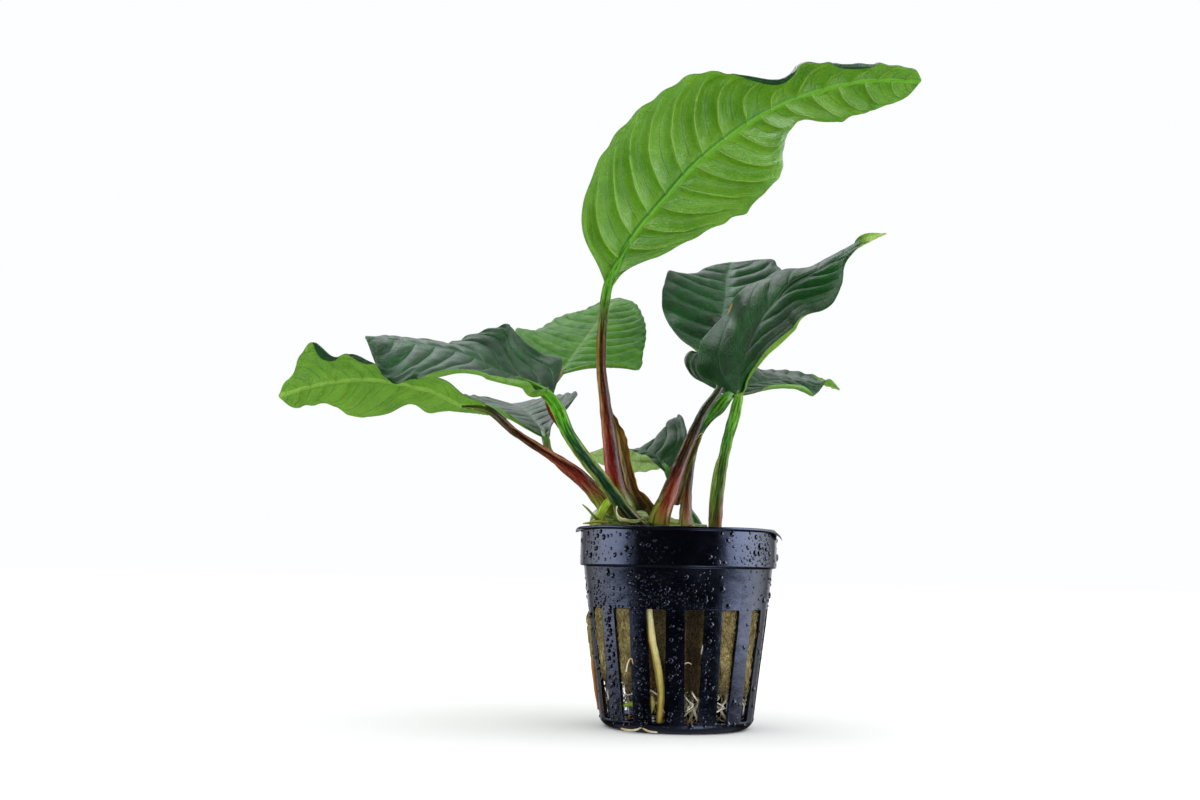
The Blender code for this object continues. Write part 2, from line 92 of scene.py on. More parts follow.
def blade_frames(path, rolls):
    """Side and upper directions along a midrib. Roll turns the blade about it, right edge downwards.

    The rolls are angles in degrees at even steps, or pairs of place and angle."""
    along = unit(np.gradient(path, axis=0))
    upper = unit(np.array([0.0, 0.0, 1.0]) - along[:, 2:] * along)
    right = np.cross(along, upper)
    places = np.linspace(0, 1, len(path))
    stations = np.array([station if isinstance(station, tuple) else (index / (len(rolls) - 1), station)
                         for index, station in enumerate(rolls)])
    angle = np.radians(np.interp(places, stations[:, 0], stations[:, 1]))[:, None]
    return along, right * np.cos(angle) - upper * np.sin(angle), upper * np.cos(angle) + right * np.sin(angle)


def tube_frames(path):
    """Two directions across a path that turn with it and don't twist."""
    along = unit(np.gradient(path, axis=0))
    start = np.array([0.0, -1.0, 0.0])
    across = unit(start - along[0] * (start @ along[0]))
    firsts = []
    for direction in along:
        across = unit(across - direction * (across @ direction))
        firsts.append(across)
    firsts = np.array(firsts)
    return firsts, np.cross(along, firsts)


def grid_faces(rows, columns, closed=False, first=0, flip=False):
    """Quads over a grid of points that are stored row by row."""
    faces = []
    width = columns if closed else columns - 1
    for row in range(rows - 1):
        for column in range(width):
            after = (column + 1) % columns
            a, b = first + row * columns + column, first + row * columns + after
            c, d = b + columns, a + columns
            faces.append((a, d, c, b) if flip else (a, b, c, d))
    return faces


def capped_faces(rows, sides):
    """Faces over rings of points that are stored one after another, then a middle point for each end."""
    count = rows * sides
    last = count - sides
    faces = grid_faces(rows, sides, closed=True, flip=True)
    for side in range(sides):
        after = (side + 1) % sides
        faces.append((count, side, after))
        faces.append((count + 1, last + after, last + side))
    return faces


def slab(top, bottom):
    """Points and faces of a thin solid between two grids of points, closed round its rim."""
    rows, columns = top.shape[:2]
    count = rows * columns
    faces = grid_faces(rows, columns) + grid_faces(rows, columns, first=count, flip=True)
    rim = [*range(columns), *range(2 * columns - 1, count, columns)]
    rim += [*range(count - 2, count - columns - 1, -1)]
    rim += [*range(count - 2 * columns, 0, -columns)]
    for first, second in zip(rim, rim[1:] + rim[:1]):
        faces.append((first, first + count, second + count, second))
    return np.concatenate([top.reshape(-1, 3), bottom.reshape(-1, 3)]), faces


def mesh_piece(name, points, faces, material, attributes=None):
    """A piece that rides on the body. Attributes are named arrays with a number or colour for each point."""
    mesh = bpy.data.meshes.new(name)
    mesh.from_pydata((np.asarray(points) * MM).tolist(), [], faces)
    for label, values in (attributes or {}).items():
        values = np.asarray(values, dtype=np.float32)
        kind = "FLOAT" if values.ndim == 1 else "FLOAT_COLOR"
        layer = mesh.attributes.new(label, kind, "POINT")
        if values.ndim == 1:
            layer.data.foreach_set("value", values)
        else:
            layer.data.foreach_set("color", np.column_stack([values, np.ones(len(values))]).ravel())
    mesh.update()
    mesh.shade_smooth()
    mesh.materials.append(material)
    piece = bpy.data.objects.new(name, mesh)
    bpy.context.scene.collection.objects.link(piece)
    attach(piece, "root")
    return piece


def linear(red, green, blue):
    """A display colour from 0 to 255 as scene-linear values."""
    values = []
    for value in (red, green, blue):
        value /= 255
        values.append(value / 12.92 if value <= 0.04045 else ((value + 0.055) / 1.055) ** 2.4)
    return tuple(values)


# Materials


class Nodes:
    """Builds a node tree in short calls. An input is a number, a colour or another node's output."""

    def __init__(self, name):
        self.material = bpy.data.materials.new(name)
        self.material.use_nodes = True
        self.tree = self.material.node_tree
        self.shader = self.tree.nodes["Principled BSDF"]

    def put(self, socket, value):
        if isinstance(value, bpy.types.NodeSocket):
            self.tree.links.new(value, socket)
        elif isinstance(value, tuple) and len(value) == 3 and socket.type == "RGBA":
            socket.default_value = (*value, 1)
        else:
            socket.default_value = value

    def node(self, kind, inputs, output=0, **settings):
        made = self.tree.nodes.new(kind)
        for key, value in settings.items():
            setattr(made, key, value)
        for key, value in inputs.items():
            self.put(made.inputs[key], value)
        return made.outputs[output]

    def math(self, operation, *values):
        return self.node("ShaderNodeMath", dict(enumerate(values)), operation=operation)

    def times(self, *values):
        made = values[0]
        for value in values[1:]:
            made = self.math("MULTIPLY", made, value)
        return made

    def total(self, *values):
        made = values[0]
        for value in values[1:]:
            made = self.math("ADD", made, value)
        return made

    def attribute(self, name, output="Fac"):
        return self.node("ShaderNodeAttribute", {}, output, attribute_name=name)

    def ramp(self, low, high, value, start=0.0, end=1.0):
        """Runs smoothly from start to end while the value runs from low to high."""
        inputs = {"Value": value, "From Min": low, "From Max": high, "To Min": start, "To Max": end}
        return self.node("ShaderNodeMapRange", inputs, interpolation_type="SMOOTHSTEP")

    def mix(self, share, first, second, blend="MIX"):
        inputs = {0: share, 6: first, 7: second}
        return self.node("ShaderNodeMix", inputs, 2, data_type="RGBA", blend_type=blend)

    def darken(self, share, first, second):
        return self.mix(share, first, second, "MULTIPLY")

    def place(self, stretch=(1.0, 1.0, 1.0), turn=(0.0, 0.0, 0.0)):
        position = self.node("ShaderNodeTexCoord", {}, "Object")
        return self.node("ShaderNodeMapping", {"Vector": position, "Scale": stretch, "Rotation": turn})

    def noise(self, size, detail=2.0, roughness=0.5, vector=None, distortion=0.0):
        """Noise from 0 to 1 whose lumps are about size millimetres across."""
        inputs = {"Vector": vector or self.place(), "Scale": 1 / (size * MM), "Detail": detail,
                  "Roughness": roughness, "Distortion": distortion}
        return self.node("ShaderNodeTexNoise", inputs)

    def bump(self, height, distance):
        return self.node("ShaderNodeBump", {"Height": height, "Distance": distance * MM, "Strength": 1.0})

    def finish(self, **sockets):
        for key, value in sockets.items():
            self.put(self.shader.inputs[key.replace("_", " ")], value)
        return self.material


SCAR_DARK = (120, 60, 20)
SCAR_PALE = (214, 150, 60)


class LeafMarks:
    """What the mesh and the noise say about each point of a leaf. The mesh knows its side, edge and veins."""

    def __init__(self, n, rib_shadow):
        self.lower_side = n.attribute("under")
        across = n.attribute("across")
        middle = n.attribute("middle")
        spacing = n.attribute("spacing")
        wander = n.math("MULTIPLY", n.math("SUBTRACT", n.noise(6, 1), 0.5), 0.08)
        phase = n.math("ADD", n.attribute("phase"), wander)
        part = n.math("FRACT", phase)
        to_vein = n.times(n.math("MINIMUM", part, n.math("SUBTRACT", 1.0, part)), spacing)
        to_second = n.times(n.math("ABSOLUTE", n.math("SUBTRACT", part, 0.5)), spacing)
        thin_out = n.ramp(0.99, 0.7, across)
        self.line = n.times(n.ramp(0.26, 0.06, to_vein), thin_out)
        self.halo = n.times(n.ramp(1.5, 0.2, to_vein), thin_out)
        inside = n.ramp(0.22, 0.06, to_second)
        self.second = n.times(inside, n.ramp(0.95, 0.4, across, 0.4, 1.0), n.ramp(0.04, 0.2, across))
        streaked = n.math("ADD", phase, n.math("MULTIPLY", n.noise(1.5, 2), 0.3))
        self.fine = n.math("SINE", n.math("MULTIPLY", streaked, 50.0))
        cells = n.node("ShaderNodeTexVoronoi", {"Vector": n.place(), "Scale": 1100.0, "Randomness": 0.9},
                       feature="DISTANCE_TO_EDGE")
        self.net = n.ramp(0.0, 0.12, cells, 1.0, 0.0)
        self.broad = n.noise(9, 3, 0.6)
        self.patches = n.noise(2.2, 3, 0.65)
        self.middle = middle
        self.midrib = n.ramp(0.62, 0.34, n.math("ABSOLUTE", middle))
        self.midrib_below = n.times(n.ramp(0.5, 0.3, middle), n.ramp(-1.0, -0.75, middle))
        # Painted shade: a dark line beside the midrib on the lower side, fading towards the tip
        self.midrib_shade = n.times(n.ramp(0.95, 0.8, middle), n.ramp(0.3, 0.45, middle), rib_shadow,
                                     n.ramp(0.75, 0.25, n.attribute("place"), 0.3, 1.0))
        # Painted shade: a dark band just before each side vein
        self.shade_before_vein = n.times(n.ramp(0.62, 0.94, part), thin_out, rib_shadow)
        self.grain = n.noise(0.42, 2, 0.7)
        self.pale = n.attribute("pale")
        self.rim = n.ramp(0.4, 0.1, n.attribute("edge"))


def upper_colour(n, marks, upper, pale, vein, veining, crease_shade):
    """Dark upper side: pale veins with painted sheen, fine streaks, and painted shade along the midrib."""
    made = n.mix(n.ramp(0.3, 0.72, marks.broad), linear(*upper), linear(*pale))
    made = n.darken(n.times(n.ramp(0.3, 0.9, marks.fine), 0.4), made, (0.6, 0.68, 0.6))
    made = n.darken(n.times(marks.second, 0.4), made, (0.4, 0.5, 0.4))
    # Pale veins, a faint pale halo beside them and a pale midrib: partly their own colour, partly painted
    # sheen
    for mark, strength in ((marks.halo, 0.07 * veining), (marks.line, 0.6 * veining), (marks.midrib, 0.6)):
        made = n.mix(n.times(mark, strength), made, linear(*vein))
    # Painted shade along the midrib of the upper side
    shaded_crease = n.times(n.ramp(0.34, 0.16, n.math("ABSOLUTE", marks.middle)), crease_shade)
    made = n.darken(shaded_crease, made, (0.12, 0.16, 0.12))
    made = n.darken(n.ramp(0.42, 0.7, marks.patches, 0.0, 0.55), made, (0.45, 0.55, 0.45))
    return n.darken(n.ramp(0.46, 0.66, marks.grain, 0.0, 0.4), made, (0.5, 0.6, 0.5))


def lower_colour(n, marks, under, under_dark, vein, veining, midrib):
    """Pale lower side: cells, veins, painted shade by the midrib and before each vein, and a dark rim."""
    made = n.mix(n.ramp(0.3, 0.75, marks.broad, 0.0, 0.9), linear(*under), linear(*under_dark))
    made = n.darken(n.times(marks.net, 0.22), made, (0.6, 0.75, 0.4))
    made = n.darken(n.times(n.ramp(-0.2, 1.0, marks.fine), 0.3), made, (0.5, 0.65, 0.4))
    # Painted shade just before each side vein
    made = n.darken(n.times(marks.shade_before_vein, 0.5), made, (0.5, 0.68, 0.3))
    made = n.darken(n.ramp(0.46, 0.66, marks.grain, 0.0, 0.45), made, (0.6, 0.72, 0.45))
    made = n.mix(n.ramp(0.46, 0.3, marks.grain, 0.0, 0.3), made, linear(*vein))
    made = n.darken(n.times(marks.second, 0.75), made, (0.3, 0.45, 0.2))
    made = n.mix(n.times(marks.line, veining), made, linear(*vein))
    made = n.mix(n.times(marks.midrib_below, 0.85), made, linear(*midrib))
    # Painted shade beside the midrib
    made = n.darken(marks.midrib_shade, made, (0.26, 0.6, 0.06))
    return n.darken(n.times(marks.rim, 0.5), made, (0.45, 0.55, 0.4))


def leaf_material(name, upper, pale, vein, under, under_dark, under_vein, gloss, veining=1.0,
                  under_veining=0.4, under_midrib=(160, 194, 96), rib_shadow=0.0, coat=0.0, shine=0.45,
                  crease_shade=0.0):
    """Two-sided leaf skin. The mesh says which side, how far across, and where the side veins run.

    Colours are display values. gloss is the roughness, veining and under_veining how plainly veins show on
    each side, under_midrib the colour of the midrib on the lower side, rib_shadow how dark the painted shade
    beside that midrib and before each side vein is, coat the strength of a clear wax, shine the strength of
    the reflections and crease_shade how dark the painted shade along the midrib of the upper side is."""
    n = Nodes(name)
    marks = LeafMarks(n, rib_shadow)
    top = upper_colour(n, marks, upper, pale, vein, veining, crease_shade)
    low = lower_colour(n, marks, under, under_dark, under_vein, under_veining, under_midrib)
    top = n.mix(marks.pale, top, low)
    colour = n.mix(marks.lower_side, top, low)
    scar = n.attribute("scar")
    colour = n.mix(scar, colour, n.mix(marks.patches, linear(*SCAR_DARK), linear(*SCAR_PALE)))

    raised = n.times(marks.grain, n.ramp(0.0, 1.0, marks.lower_side, 0.45, 1.1))
    height = n.math("ADD", raised, n.times(marks.fine, 0.12))
    height = n.math("ADD", height, n.times(marks.net, 0.25))
    side = n.math("SUBTRACT", n.times(marks.lower_side, 2.0), 1.0)
    height = n.math("ADD", height, n.times(marks.line, side, 1.4))
    rough = n.ramp(0.2, 0.8, marks.patches, gloss - 0.05, gloss + 0.12)
    rough = n.math("ADD", rough, n.times(marks.midrib_shade, marks.lower_side, 0.5))
    normal = n.bump(height, 0.12)
    return n.finish(Base_Color=colour, Roughness=rough, Normal=normal, Specular_IOR_Level=shine,
                    Coat_Weight=coat, Coat_Roughness=0.16, Coat_Normal=normal)


def skin_material(name, gloss, streak=0.6, bump=0.12):
    """Skin that takes its colour from the mesh, with streaks along it, specks and blotches.

    gloss is the roughness, streak the strength of the streaks and bump their height in millimetres."""
    n = Nodes(name)
    base = n.attribute("tint", "Color")
    inputs = {"X": n.times(n.attribute("around"), 1.7), "Y": n.times(n.attribute("run"), 0.1)}
    lengthwise = n.node("ShaderNodeCombineXYZ", inputs)
    inputs = {"Vector": lengthwise, "Scale": 1.6, "Detail": 4.0, "Roughness": 0.65}
    streaks = n.node("ShaderNodeTexNoise", inputs)
    specks = n.noise(0.5, 3, 0.7)
    blotches = n.noise(3, 3, 0.6)
    colour = n.darken(n.ramp(0.47, 0.56, streaks, 0.0, streak), base, (0.34, 0.28, 0.22))
    colour = n.mix(n.ramp(0.46, 0.34, streaks, 0.0, streak * 0.25), colour, linear(190, 160, 90))
    colour = n.darken(n.ramp(0.5, 0.75, specks, 0.0, 0.5), colour, (0.55, 0.45, 0.4))
    colour = n.darken(n.ramp(0.45, 0.7, blotches, 0.0, 0.4), colour, (0.6, 0.6, 0.5))
    height = n.math("ADD", streaks, n.times(specks, 0.3))
    return n.finish(Base_Color=colour, Roughness=n.ramp(0.3, 0.7, specks, gloss - 0.05, gloss + 0.12),
                    Normal=n.bump(height, bump), Specular_IOR_Level=0.34)


def plastic_material():
    """Glossy black moulded plastic with a thin uneven film of water and faint scuffs."""
    n = Nodes("black_plastic")
    film = n.noise(6, 3, 0.6)
    grain = n.noise(0.35, 2)
    ring = n.noise(1.2, 4, 0.7, n.place((0.25, 0.25, 5.0)))
    scuffs = n.times(n.ramp(0.56, 0.7, ring), n.ramp(0.46, 0.62, n.noise(8, 2)))
    colour = n.mix(n.ramp(0.3, 0.8, film), linear(2, 2, 5), linear(6, 6, 12))
    colour = n.mix(n.times(scuffs, 0.12), colour, linear(56, 62, 88))
    rough = n.math("ADD", n.ramp(0.25, 0.8, film, 0.14, 0.28), n.times(scuffs, 0.2))
    waves = n.math("ADD", n.times(grain, 0.2), n.times(n.noise(3.5, 2), 1.0))
    return n.finish(Base_Color=colour, Roughness=rough, Specular_IOR_Level=0.8,
                    Specular_Tint=(0.55, 0.64, 1.0, 1.0), Normal=n.bump(waves, 0.09))


def water_material(name, painted_glint, share):
    """Beads of water, which show the black of the wall that they sit on, with painted glints here and there.
    """
    n = Nodes(name)
    ripple = n.noise(0.7, 1)
    tone = n.mix(ripple, linear(2, 2, 5), linear(10, 10, 18))
    # Painted glints: patches of the paler colour
    tone = n.mix(n.ramp(0.58 - share, 0.66 - share, n.noise(0.5, 1)), tone, linear(*painted_glint))
    return n.finish(Base_Color=tone, Roughness=n.ramp(0.3, 0.7, ripple, 0.03, 0.06), IOR=1.4,
                    Specular_IOR_Level=0.9, Specular_Tint=(0.7, 0.8, 1.0, 1.0))


def wool_material(name, pale, dark):
    """Felted mineral fibre with crossing strands and darker places, mostly painted shade, marked on the mesh.
    """
    n = Nodes(name)
    first = n.noise(0.9, 4, 0.65, n.place((3.2, 3.2, 0.7), (0.3, 0.5, 0.0)), 1.2)
    second = n.noise(1.3, 4, 0.65, n.place((3.0, 3.0, 0.8), (-0.5, -0.4, 0.4)), 1.6)
    strands = n.math("MAXIMUM", first, n.times(second, 0.95))
    clumps = n.noise(4.5, 3, 0.6)
    colour = n.mix(n.ramp(0.44, 0.6, strands), linear(*dark), linear(*pale))
    colour = n.darken(n.ramp(0.42, 0.7, clumps, 0.0, 0.7), colour, (0.5, 0.42, 0.22))
    # Painted shade in the front slots and a few other places, and a darker ragged lower edge
    colour = n.darken(n.attribute("wet"), colour, (0.13, 0.09, 0.05))
    return n.finish(Base_Color=colour, Roughness=0.8, Normal=n.bump(strands, 1.0))


# Colours of an upper side, its paler patches and its veins, whose pale grey-green is partly painted sheen
DARK_SIDE = ((6, 56, 14), (14, 82, 22), (62, 112, 68))
DEEP_SIDE = ((10, 62, 22), (22, 82, 32), (84, 116, 86))
# Each leaf skin has those of its upper side, then the colours of its lower side, its darker patches and its
# veins
DARK_LEAF = leaf_material("dark_leaf", *DARK_SIDE, (120, 172, 50), (92, 146, 36), (160, 196, 90), 0.33)
# Its brighter green is partly painted light, for light that shines through the leaf from behind
MID_LEAF = leaf_material("mid_leaf", (52, 114, 8), (78, 138, 18), (122, 160, 76),
                         (120, 172, 50), (92, 144, 36), (166, 198, 92), 0.45, shine=0.2)
SMOOTH_LEAF = leaf_material("smooth_dark_leaf", (3, 52, 8), (10, 80, 16), (78, 118, 84), (142, 188, 58),
                            (110, 160, 40), (184, 212, 106), 0.33, veining=0.7, shine=0.36, crease_shade=0.9)
# Its pale lower side is painted light, for light that shines through the leaf
LIT_THROUGH_LEAF = leaf_material("lit_through_leaf", *DARK_SIDE,
                                (184, 222, 128), (160, 204, 104), (206, 230, 150), 0.33)
FRESH_LEAF = leaf_material("fresh_leaf", *DEEP_SIDE, (114, 172, 32), (86, 148, 20), (156, 200, 70), 0.3,
                           under_veining=0.5, under_midrib=(108, 180, 20), rib_shadow=0.9, coat=0.5)
BRIGHT_LEAF = leaf_material("bright_leaf", *DEEP_SIDE, (118, 174, 34), (90, 150, 20), (158, 202, 72), 0.32,
                            under_veining=0.15, under_midrib=(138, 190, 60), rib_shadow=0.12, coat=0.35)
STALK = skin_material("stalk_skin", 0.2, 0.9)
SHEATH = skin_material("papery_sheath", 0.5, 0.9, 0.2)
ROOT = skin_material("root_skin", 0.4, 0.3)
PLASTIC = plastic_material()
# The second colour of each water material is its painted glints
WATER = water_material("water", (48, 54, 74), 0.0)
FINE_WATER = water_material("fine_water", (104, 112, 142), 0.02)
WOOL = wool_material("rockwool", (206, 188, 120), (84, 62, 20))
FIBRE = wool_material("rockwool_fibre", (238, 224, 168), (150, 126, 60))

# Leaf blades


# midrib: points from the base of the blade to its tip. roll: the turn about the midrib in degrees, at even
# steps or as pairs of place and angle. left, right: place along the midrib, half width and how far the edge
# stands above the blade's plane. back: how far each basal lobe reaches back past the base. rolls: side (-1
# left, 1 right), the angle an edge is rolled through, towards the upper side if it is positive, and stations
# of place and width. bumps: side, place, reach and height of a swelling of the outline. veins: count, first
# place, last place. sweep: how fast they bend to the tip near the midrib and near the edge, and right_sweep
# the same for the right side where it differs. puff: height of the swellings between them. round: their
# shape. swelling: their share on the left and on the right. smooth_margin: how far they fade towards the
# right edge. lumps: place, part of the half width, reach and height of a swelling of the surface. scallop,
# ruffle: how far the edge waves in its plane and out of it. scars: place, part of the half width and radius.
# pale_from: places between which the upper side turns as pale as the lower. rows, columns, seed: of its mesh
# and its unevenness.
LEAVES = {
    "tall": dict(
        material=FRESH_LEAF,
        midrib=[(-19, -12, 113.5), (-13.5, -16, 124.5), (-4.5, -20, 135), (4.5, -24, 144), (19, -30, 153.5),
                (33.5, -33, 159), (46, -33, 161.5), (58.5, -31, 162)],
        roll=(-38, -42, -44, -36, -25),
        left=[(0.03, 2.3, 2.5), (0.13, 10, 2), (0.25, 14.2, 0.5), (0.36, 18, 0.4), (0.46, 18.4, 0.1),
              (0.53, 17, 1.5), (0.58, 13.6, 3), (0.66, 10.8, 6), (0.77, 14, 3.8), (0.86, 11.6, 1),
              (0.95, 7.3, -0.6), (0.985, 4.4, -0.3)],
        right=[(0.04, 4.9, 0.7), (0.08, 10, 0.8), (0.14, 15.2, 1), (0.21, 18.8, 0.2), (0.33, 21, -1.6),
               (0.44, 20.3, -2), (0.54, 18.2, -1.9), (0.6, 13.6, -3.6), (0.66, 10.6, -6.4), (0.73, 12.2, -6),
               (0.79, 9.7, -4.8), (0.86, 7.4, -3), (0.94, 4.6, -0.6), (0.98, 3.2, -0.2)],
        rolls=[(1, -155, [(0.58, 0), (0.62, 1.1), (0.66, 1.6), (0.69, 1.0), (0.71, 0)]),
               (1, -155, [(0.77, 0), (0.8, 1.2), (0.84, 1.3), (0.88, 0)])],
        bumps=[(-1, 0.55, 0.035, 1.4), (-1, 0.38, 0.03, 1.4), (-1, 0.31, 0.02, 0.7), (-1, 0.24, 0.02, 0.5),
               (-1, 0.8, 0.025, 0.9), (-1, 0.88, 0.02, 0.5)],
        veins=(13, 0.073, 0.89), puff=2.1, round=1.0, ruffle=0.4, rows=220, columns=46, seed=1,
    ),
    "low_left": dict(
        material=BRIGHT_LEAF,
        midrib=[(-51, -7, 82), (-57, -8, 82), (-62.5, -9, 84.5), (-67.5, -10, 86), (-77, -12, 87.5),
                (-85, -14, 87.5), (-94.5, -16, 85.5), (-103, -17, 82.5)],
        roll=(20, 28, 30, 30, 25),
        left=[(0.07, 2.9, 0.5), (0.2, 6.3, 0), (0.3, 8.7, -1.9), (0.44, 10.1, -2.5), (0.58, 10.5, -2.3),
              (0.64, 12.4, -1.5), (0.73, 12.6, -1.4), (0.79, 14.3, 2.6), (0.84, 11.3, 2.6), (0.9, 5.5, 1.2),
              (0.96, 2.1, 1.7)],
        right=[(0.12, 2.6, -0.5), (0.23, 8.7, -0.6), (0.36, 10.5, 1.4), (0.46, 13.9, -0.1), (0.58, 15, -1.3),
               (0.68, 13.8, -1.2), (0.77, 10.3, 0.5), (0.9, 8.9, 0.9), (0.98, 3.5, -0.7)],
        rolls=[(-1, -155, [(0.56, 0), (0.59, 1.2), (0.64, 1.3), (0.67, 0)]),
               (-1, -155, [(0.7, 0), (0.73, 1.8), (0.76, 2.8), (0.78, 1.6), (0.79, 0)])],
        veins=(8, 0.06, 0.9), puff=0.9, rows=150, columns=34, seed=2,
    ),
    "long_left": dict(
        material=DARK_LEAF,
        midrib=[(-34.5, -16, 84.5), (-40, -17, 87.5), (-45.5, -19, 89.5), (-51, -21, 92), (-57, -24, 94),
                (-65, -27, 95), (-72.5, -30, 95.5), (-78, -32, 96)],
        roll=(-30, -32, -32, -30, -30),
        left=[(0.03, 5, 0), (0.14, 9.4, 1.5), (0.24, 12.1, 2.1), (0.39, 15.7, 1.9), (0.55, 17, 1.4),
              (0.66, 18.1, -0.4), (0.8, 17.7, -2.3), (0.88, 16.6, -4.2), (0.94, 11.5, -3)],
        right=[(0.03, 12, 2.9), (0.12, 18.4, 2), (0.16, 19.9, 2.6), (0.23, 21.2, 4.9), (0.32, 21, 3.8),
               (0.38, 17.6, 1.4), (0.45, 14.1, -1.7), (0.68, 10.8, -3.2), (0.88, 6.2, -1.8)],
        back=(0, 2),
        rolls=[(-1, 108, [(0.0, 2.6), (0.1, 2.6), (0.22, 2.0), (0.4, 1.4), (0.55, 1.3), (0.65, 1.9),
                          (0.72, 1.3), (0.78, 0)])],
        veins=(9, 0.04, 0.9), puff=0.55, rows=150, columns=38, seed=3,
    ),
    "rear_left": dict(
        material=MID_LEAF,
        midrib=[(-32.5, 4, 92), (-30, 14, 98), (-27.5, 24, 104), (-24.5, 36, 111), (-22, 46, 117),
                (-19, 56, 122)],
        roll=(0, 0, 0),
        left=[(0.06, 4.5, 0.3), (0.17, 10, 2.3), (0.3, 16.9, 3.6), (0.44, 20.6, 3), (0.53, 18.9, -0.2),
              (0.65, 16.7, -1), (0.75, 14.1, -0.8), (0.85, 9.1, -1.1), (0.96, 4.1, -0.1)],
        right=[(0.02, 6.5, 0.9), (0.06, 11.7, 0.3), (0.13, 15.9, -2.1), (0.2, 17.7, -4.4),
               (0.39, 16.8, -3.8), (0.58, 14.9, -2.7), (0.74, 11.8, -1.4), (0.89, 6.8, 0.2)],
        rolls=[(1, 110, [(0.0, 0.8), (0.12, 1.0), (0.24, 0)])], veins=(11, 0.04, 0.92), puff=0.6,
        scallop=0.08, ruffle=0.2, rows=140, columns=34, seed=4,
    ),
    "small_left": dict(
        material=DARK_LEAF,
        midrib=[(-36, 4, 75), (-39, 12, 79), (-43, 24, 83.5), (-47, 37, 86.5), (-50.5, 50, 88.5)],
        roll=(0, 0, 0),
        left=[(0.05, 6.6, 2.1), (0.14, 11.2, 3.3), (0.22, 14.7, 3), (0.32, 18.7, 0.9), (0.43, 22.2, -0.3),
              (0.59, 22, 0.5), (0.77, 16.2, 2.4), (0.89, 9.8, 1.8), (0.97, 3.2, 0.2)],
        right=[(0.09, 2.6, 1.6), (0.19, 6.9, 3.7), (0.29, 10.2, 4.9), (0.45, 13.8, 6.2), (0.61, 12.1, 4.6),
               (0.8, 8.2, 2.5), (0.94, 4.3, 0.9)],
        rolls=[(-1, 120, [(0.04, 0.8), (0.2, 1.8), (0.4, 1.4), (0.5, 0)])], veins=(9, 0.04, 0.92), puff=0.4,
        rows=120, columns=34, seed=5,
    ),
    "front_right": dict(
        material=SMOOTH_LEAF,
        midrib=[(15, -6, 85.5), (16, -9, 92), (18, -12, 97.5), (20.5, -15, 102.5), (24, -18, 107.5),
                (28, -20, 112.5), (35, -20, 116.5), (42.5, -18, 121.5), (47.5, -16, 125), (52, -14, 127)],
        roll=((0, 88), (0.25, 75), (0.5, 60), (0.75, 45), (0.87, 38), (0.92, 120), (1, 190)),
        left=[(0.02, 7, 6), (0.07, 11.4, 9), (0.11, 16, 7.2), (0.15, 18.4, 3.4), (0.21, 18.8, 0.8),
              (0.28, 18.8, 0.7), (0.34, 16.4, 0.5), (0.42, 13.8, -1.6), (0.5, 10.2, -4), (0.61, 7.3, -4.9),
              (0.74, 4.7, -3.1), (0.85, 2.6, -1)],
        right=[(0.03, 0.9, -0.6), (0.09, 2.6, -0.8), (0.16, 5.2, -0.5), (0.27, 8.8, -0.5), (0.4, 11.1, -1),
               (0.47, 12.3, -0.3), (0.54, 13.4, 0.8), (0.62, 13.1, 1.3), (0.67, 9.1, 1.1), (0.73, 4.1, 0.5),
               (0.82, 1.4, 0.6)],
        rolls=[(1, 120, [(0.0, 2.0), (0.1, 1.5), (0.25, 1.6), (0.36, 1.9), (0.46, 1.0), (0.53, 0)])],
        scars=[(0.25, -0.97, 0.6)], pale_from=(0.85, 0.93),
        lumps=[(0.36, -0.48, 7.5, 1.7), (0.49, -0.68, 6, 1.3), (0.16, -0.6, 6, 0.8)],
        veins=(7, 0.06, 0.85), puff=1.2, swelling=(0.15, 0.75), ruffle=0.05, scallop=0.05, sweep=(0.6, 0.4),
        right_sweep=(1.9, 0.8), smooth_margin=0.85, rows=170, columns=40, seed=6,
    ),
    "rear_right": dict(
        material=DARK_LEAF,
        midrib=[(11, 8, 92.5), (10.5, 14, 98.5), (11, 20, 105.5), (12, 27, 112.5), (13, 35, 119),
                (13.5, 45, 126), (15, 57, 133.5)],
        roll=(10, 10, 10),
        left=[(0.05, 3.4, 1.6), (0.1, 5.7, 2.3), (0.15, 9.2, 1.9), (0.22, 12.6, 1.6), (0.29, 15.1, 1.3),
              (0.36, 16.8, 1.2), (0.44, 18, 2.2), (0.52, 18.3, 2.6), (0.6, 18.2, 2.1), (0.7, 17.2, 1.9),
              (0.76, 13.6, -0.2), (0.83, 9.7, -0.8), (0.93, 5.4, -0.1)],
        right=[(0.03, 3.7, 0.6), (0.12, 8.9, 3.8), (0.28, 14.5, 4), (0.47, 18.3, 3), (0.62, 18, 5),
               (0.75, 16.1, 5), (0.86, 14.1, 4.2), (0.94, 10.6, 4.2)],
        veins=(9, 0.05, 0.9), sweep=(0.15, 0.12), right_sweep=(0.35, 0.3), puff=1.0, ruffle=0.15,
        scallop=0.08, rows=140, columns=36, seed=7,
    ),
    "low_right": dict(
        material=DARK_LEAF,
        midrib=[(13, 7.5, 87), (17.5, 13, 90.5), (26, 21, 93), (34.5, 28, 94), (41, 33, 93.5),
                (45.5, 36, 92.5)],
        roll=(24, 26, 24, 16, 12),
        left=[(0.03, 8.4, 0.2), (0.05, 11.8, 0), (0.09, 15.8, 0.4), (0.13, 19, 1.2), (0.18, 21.2, 1.6),
              (0.28, 21, 1.5), (0.52, 20.4, -0.6), (0.66, 18.5, -1.5), (0.8, 16.7, 0.6), (0.9, 12.9, 1.8),
              (0.96, 7.2, 1.9)],
        right=[(0.03, 4.6, 1.7), (0.14, 7.7, 2.1), (0.29, 9.2, 2.1), (0.47, 10, 0.6), (0.6, 8.8, -2),
               (0.73, 5.9, -1.2), (0.85, 2.6, 1.7)],
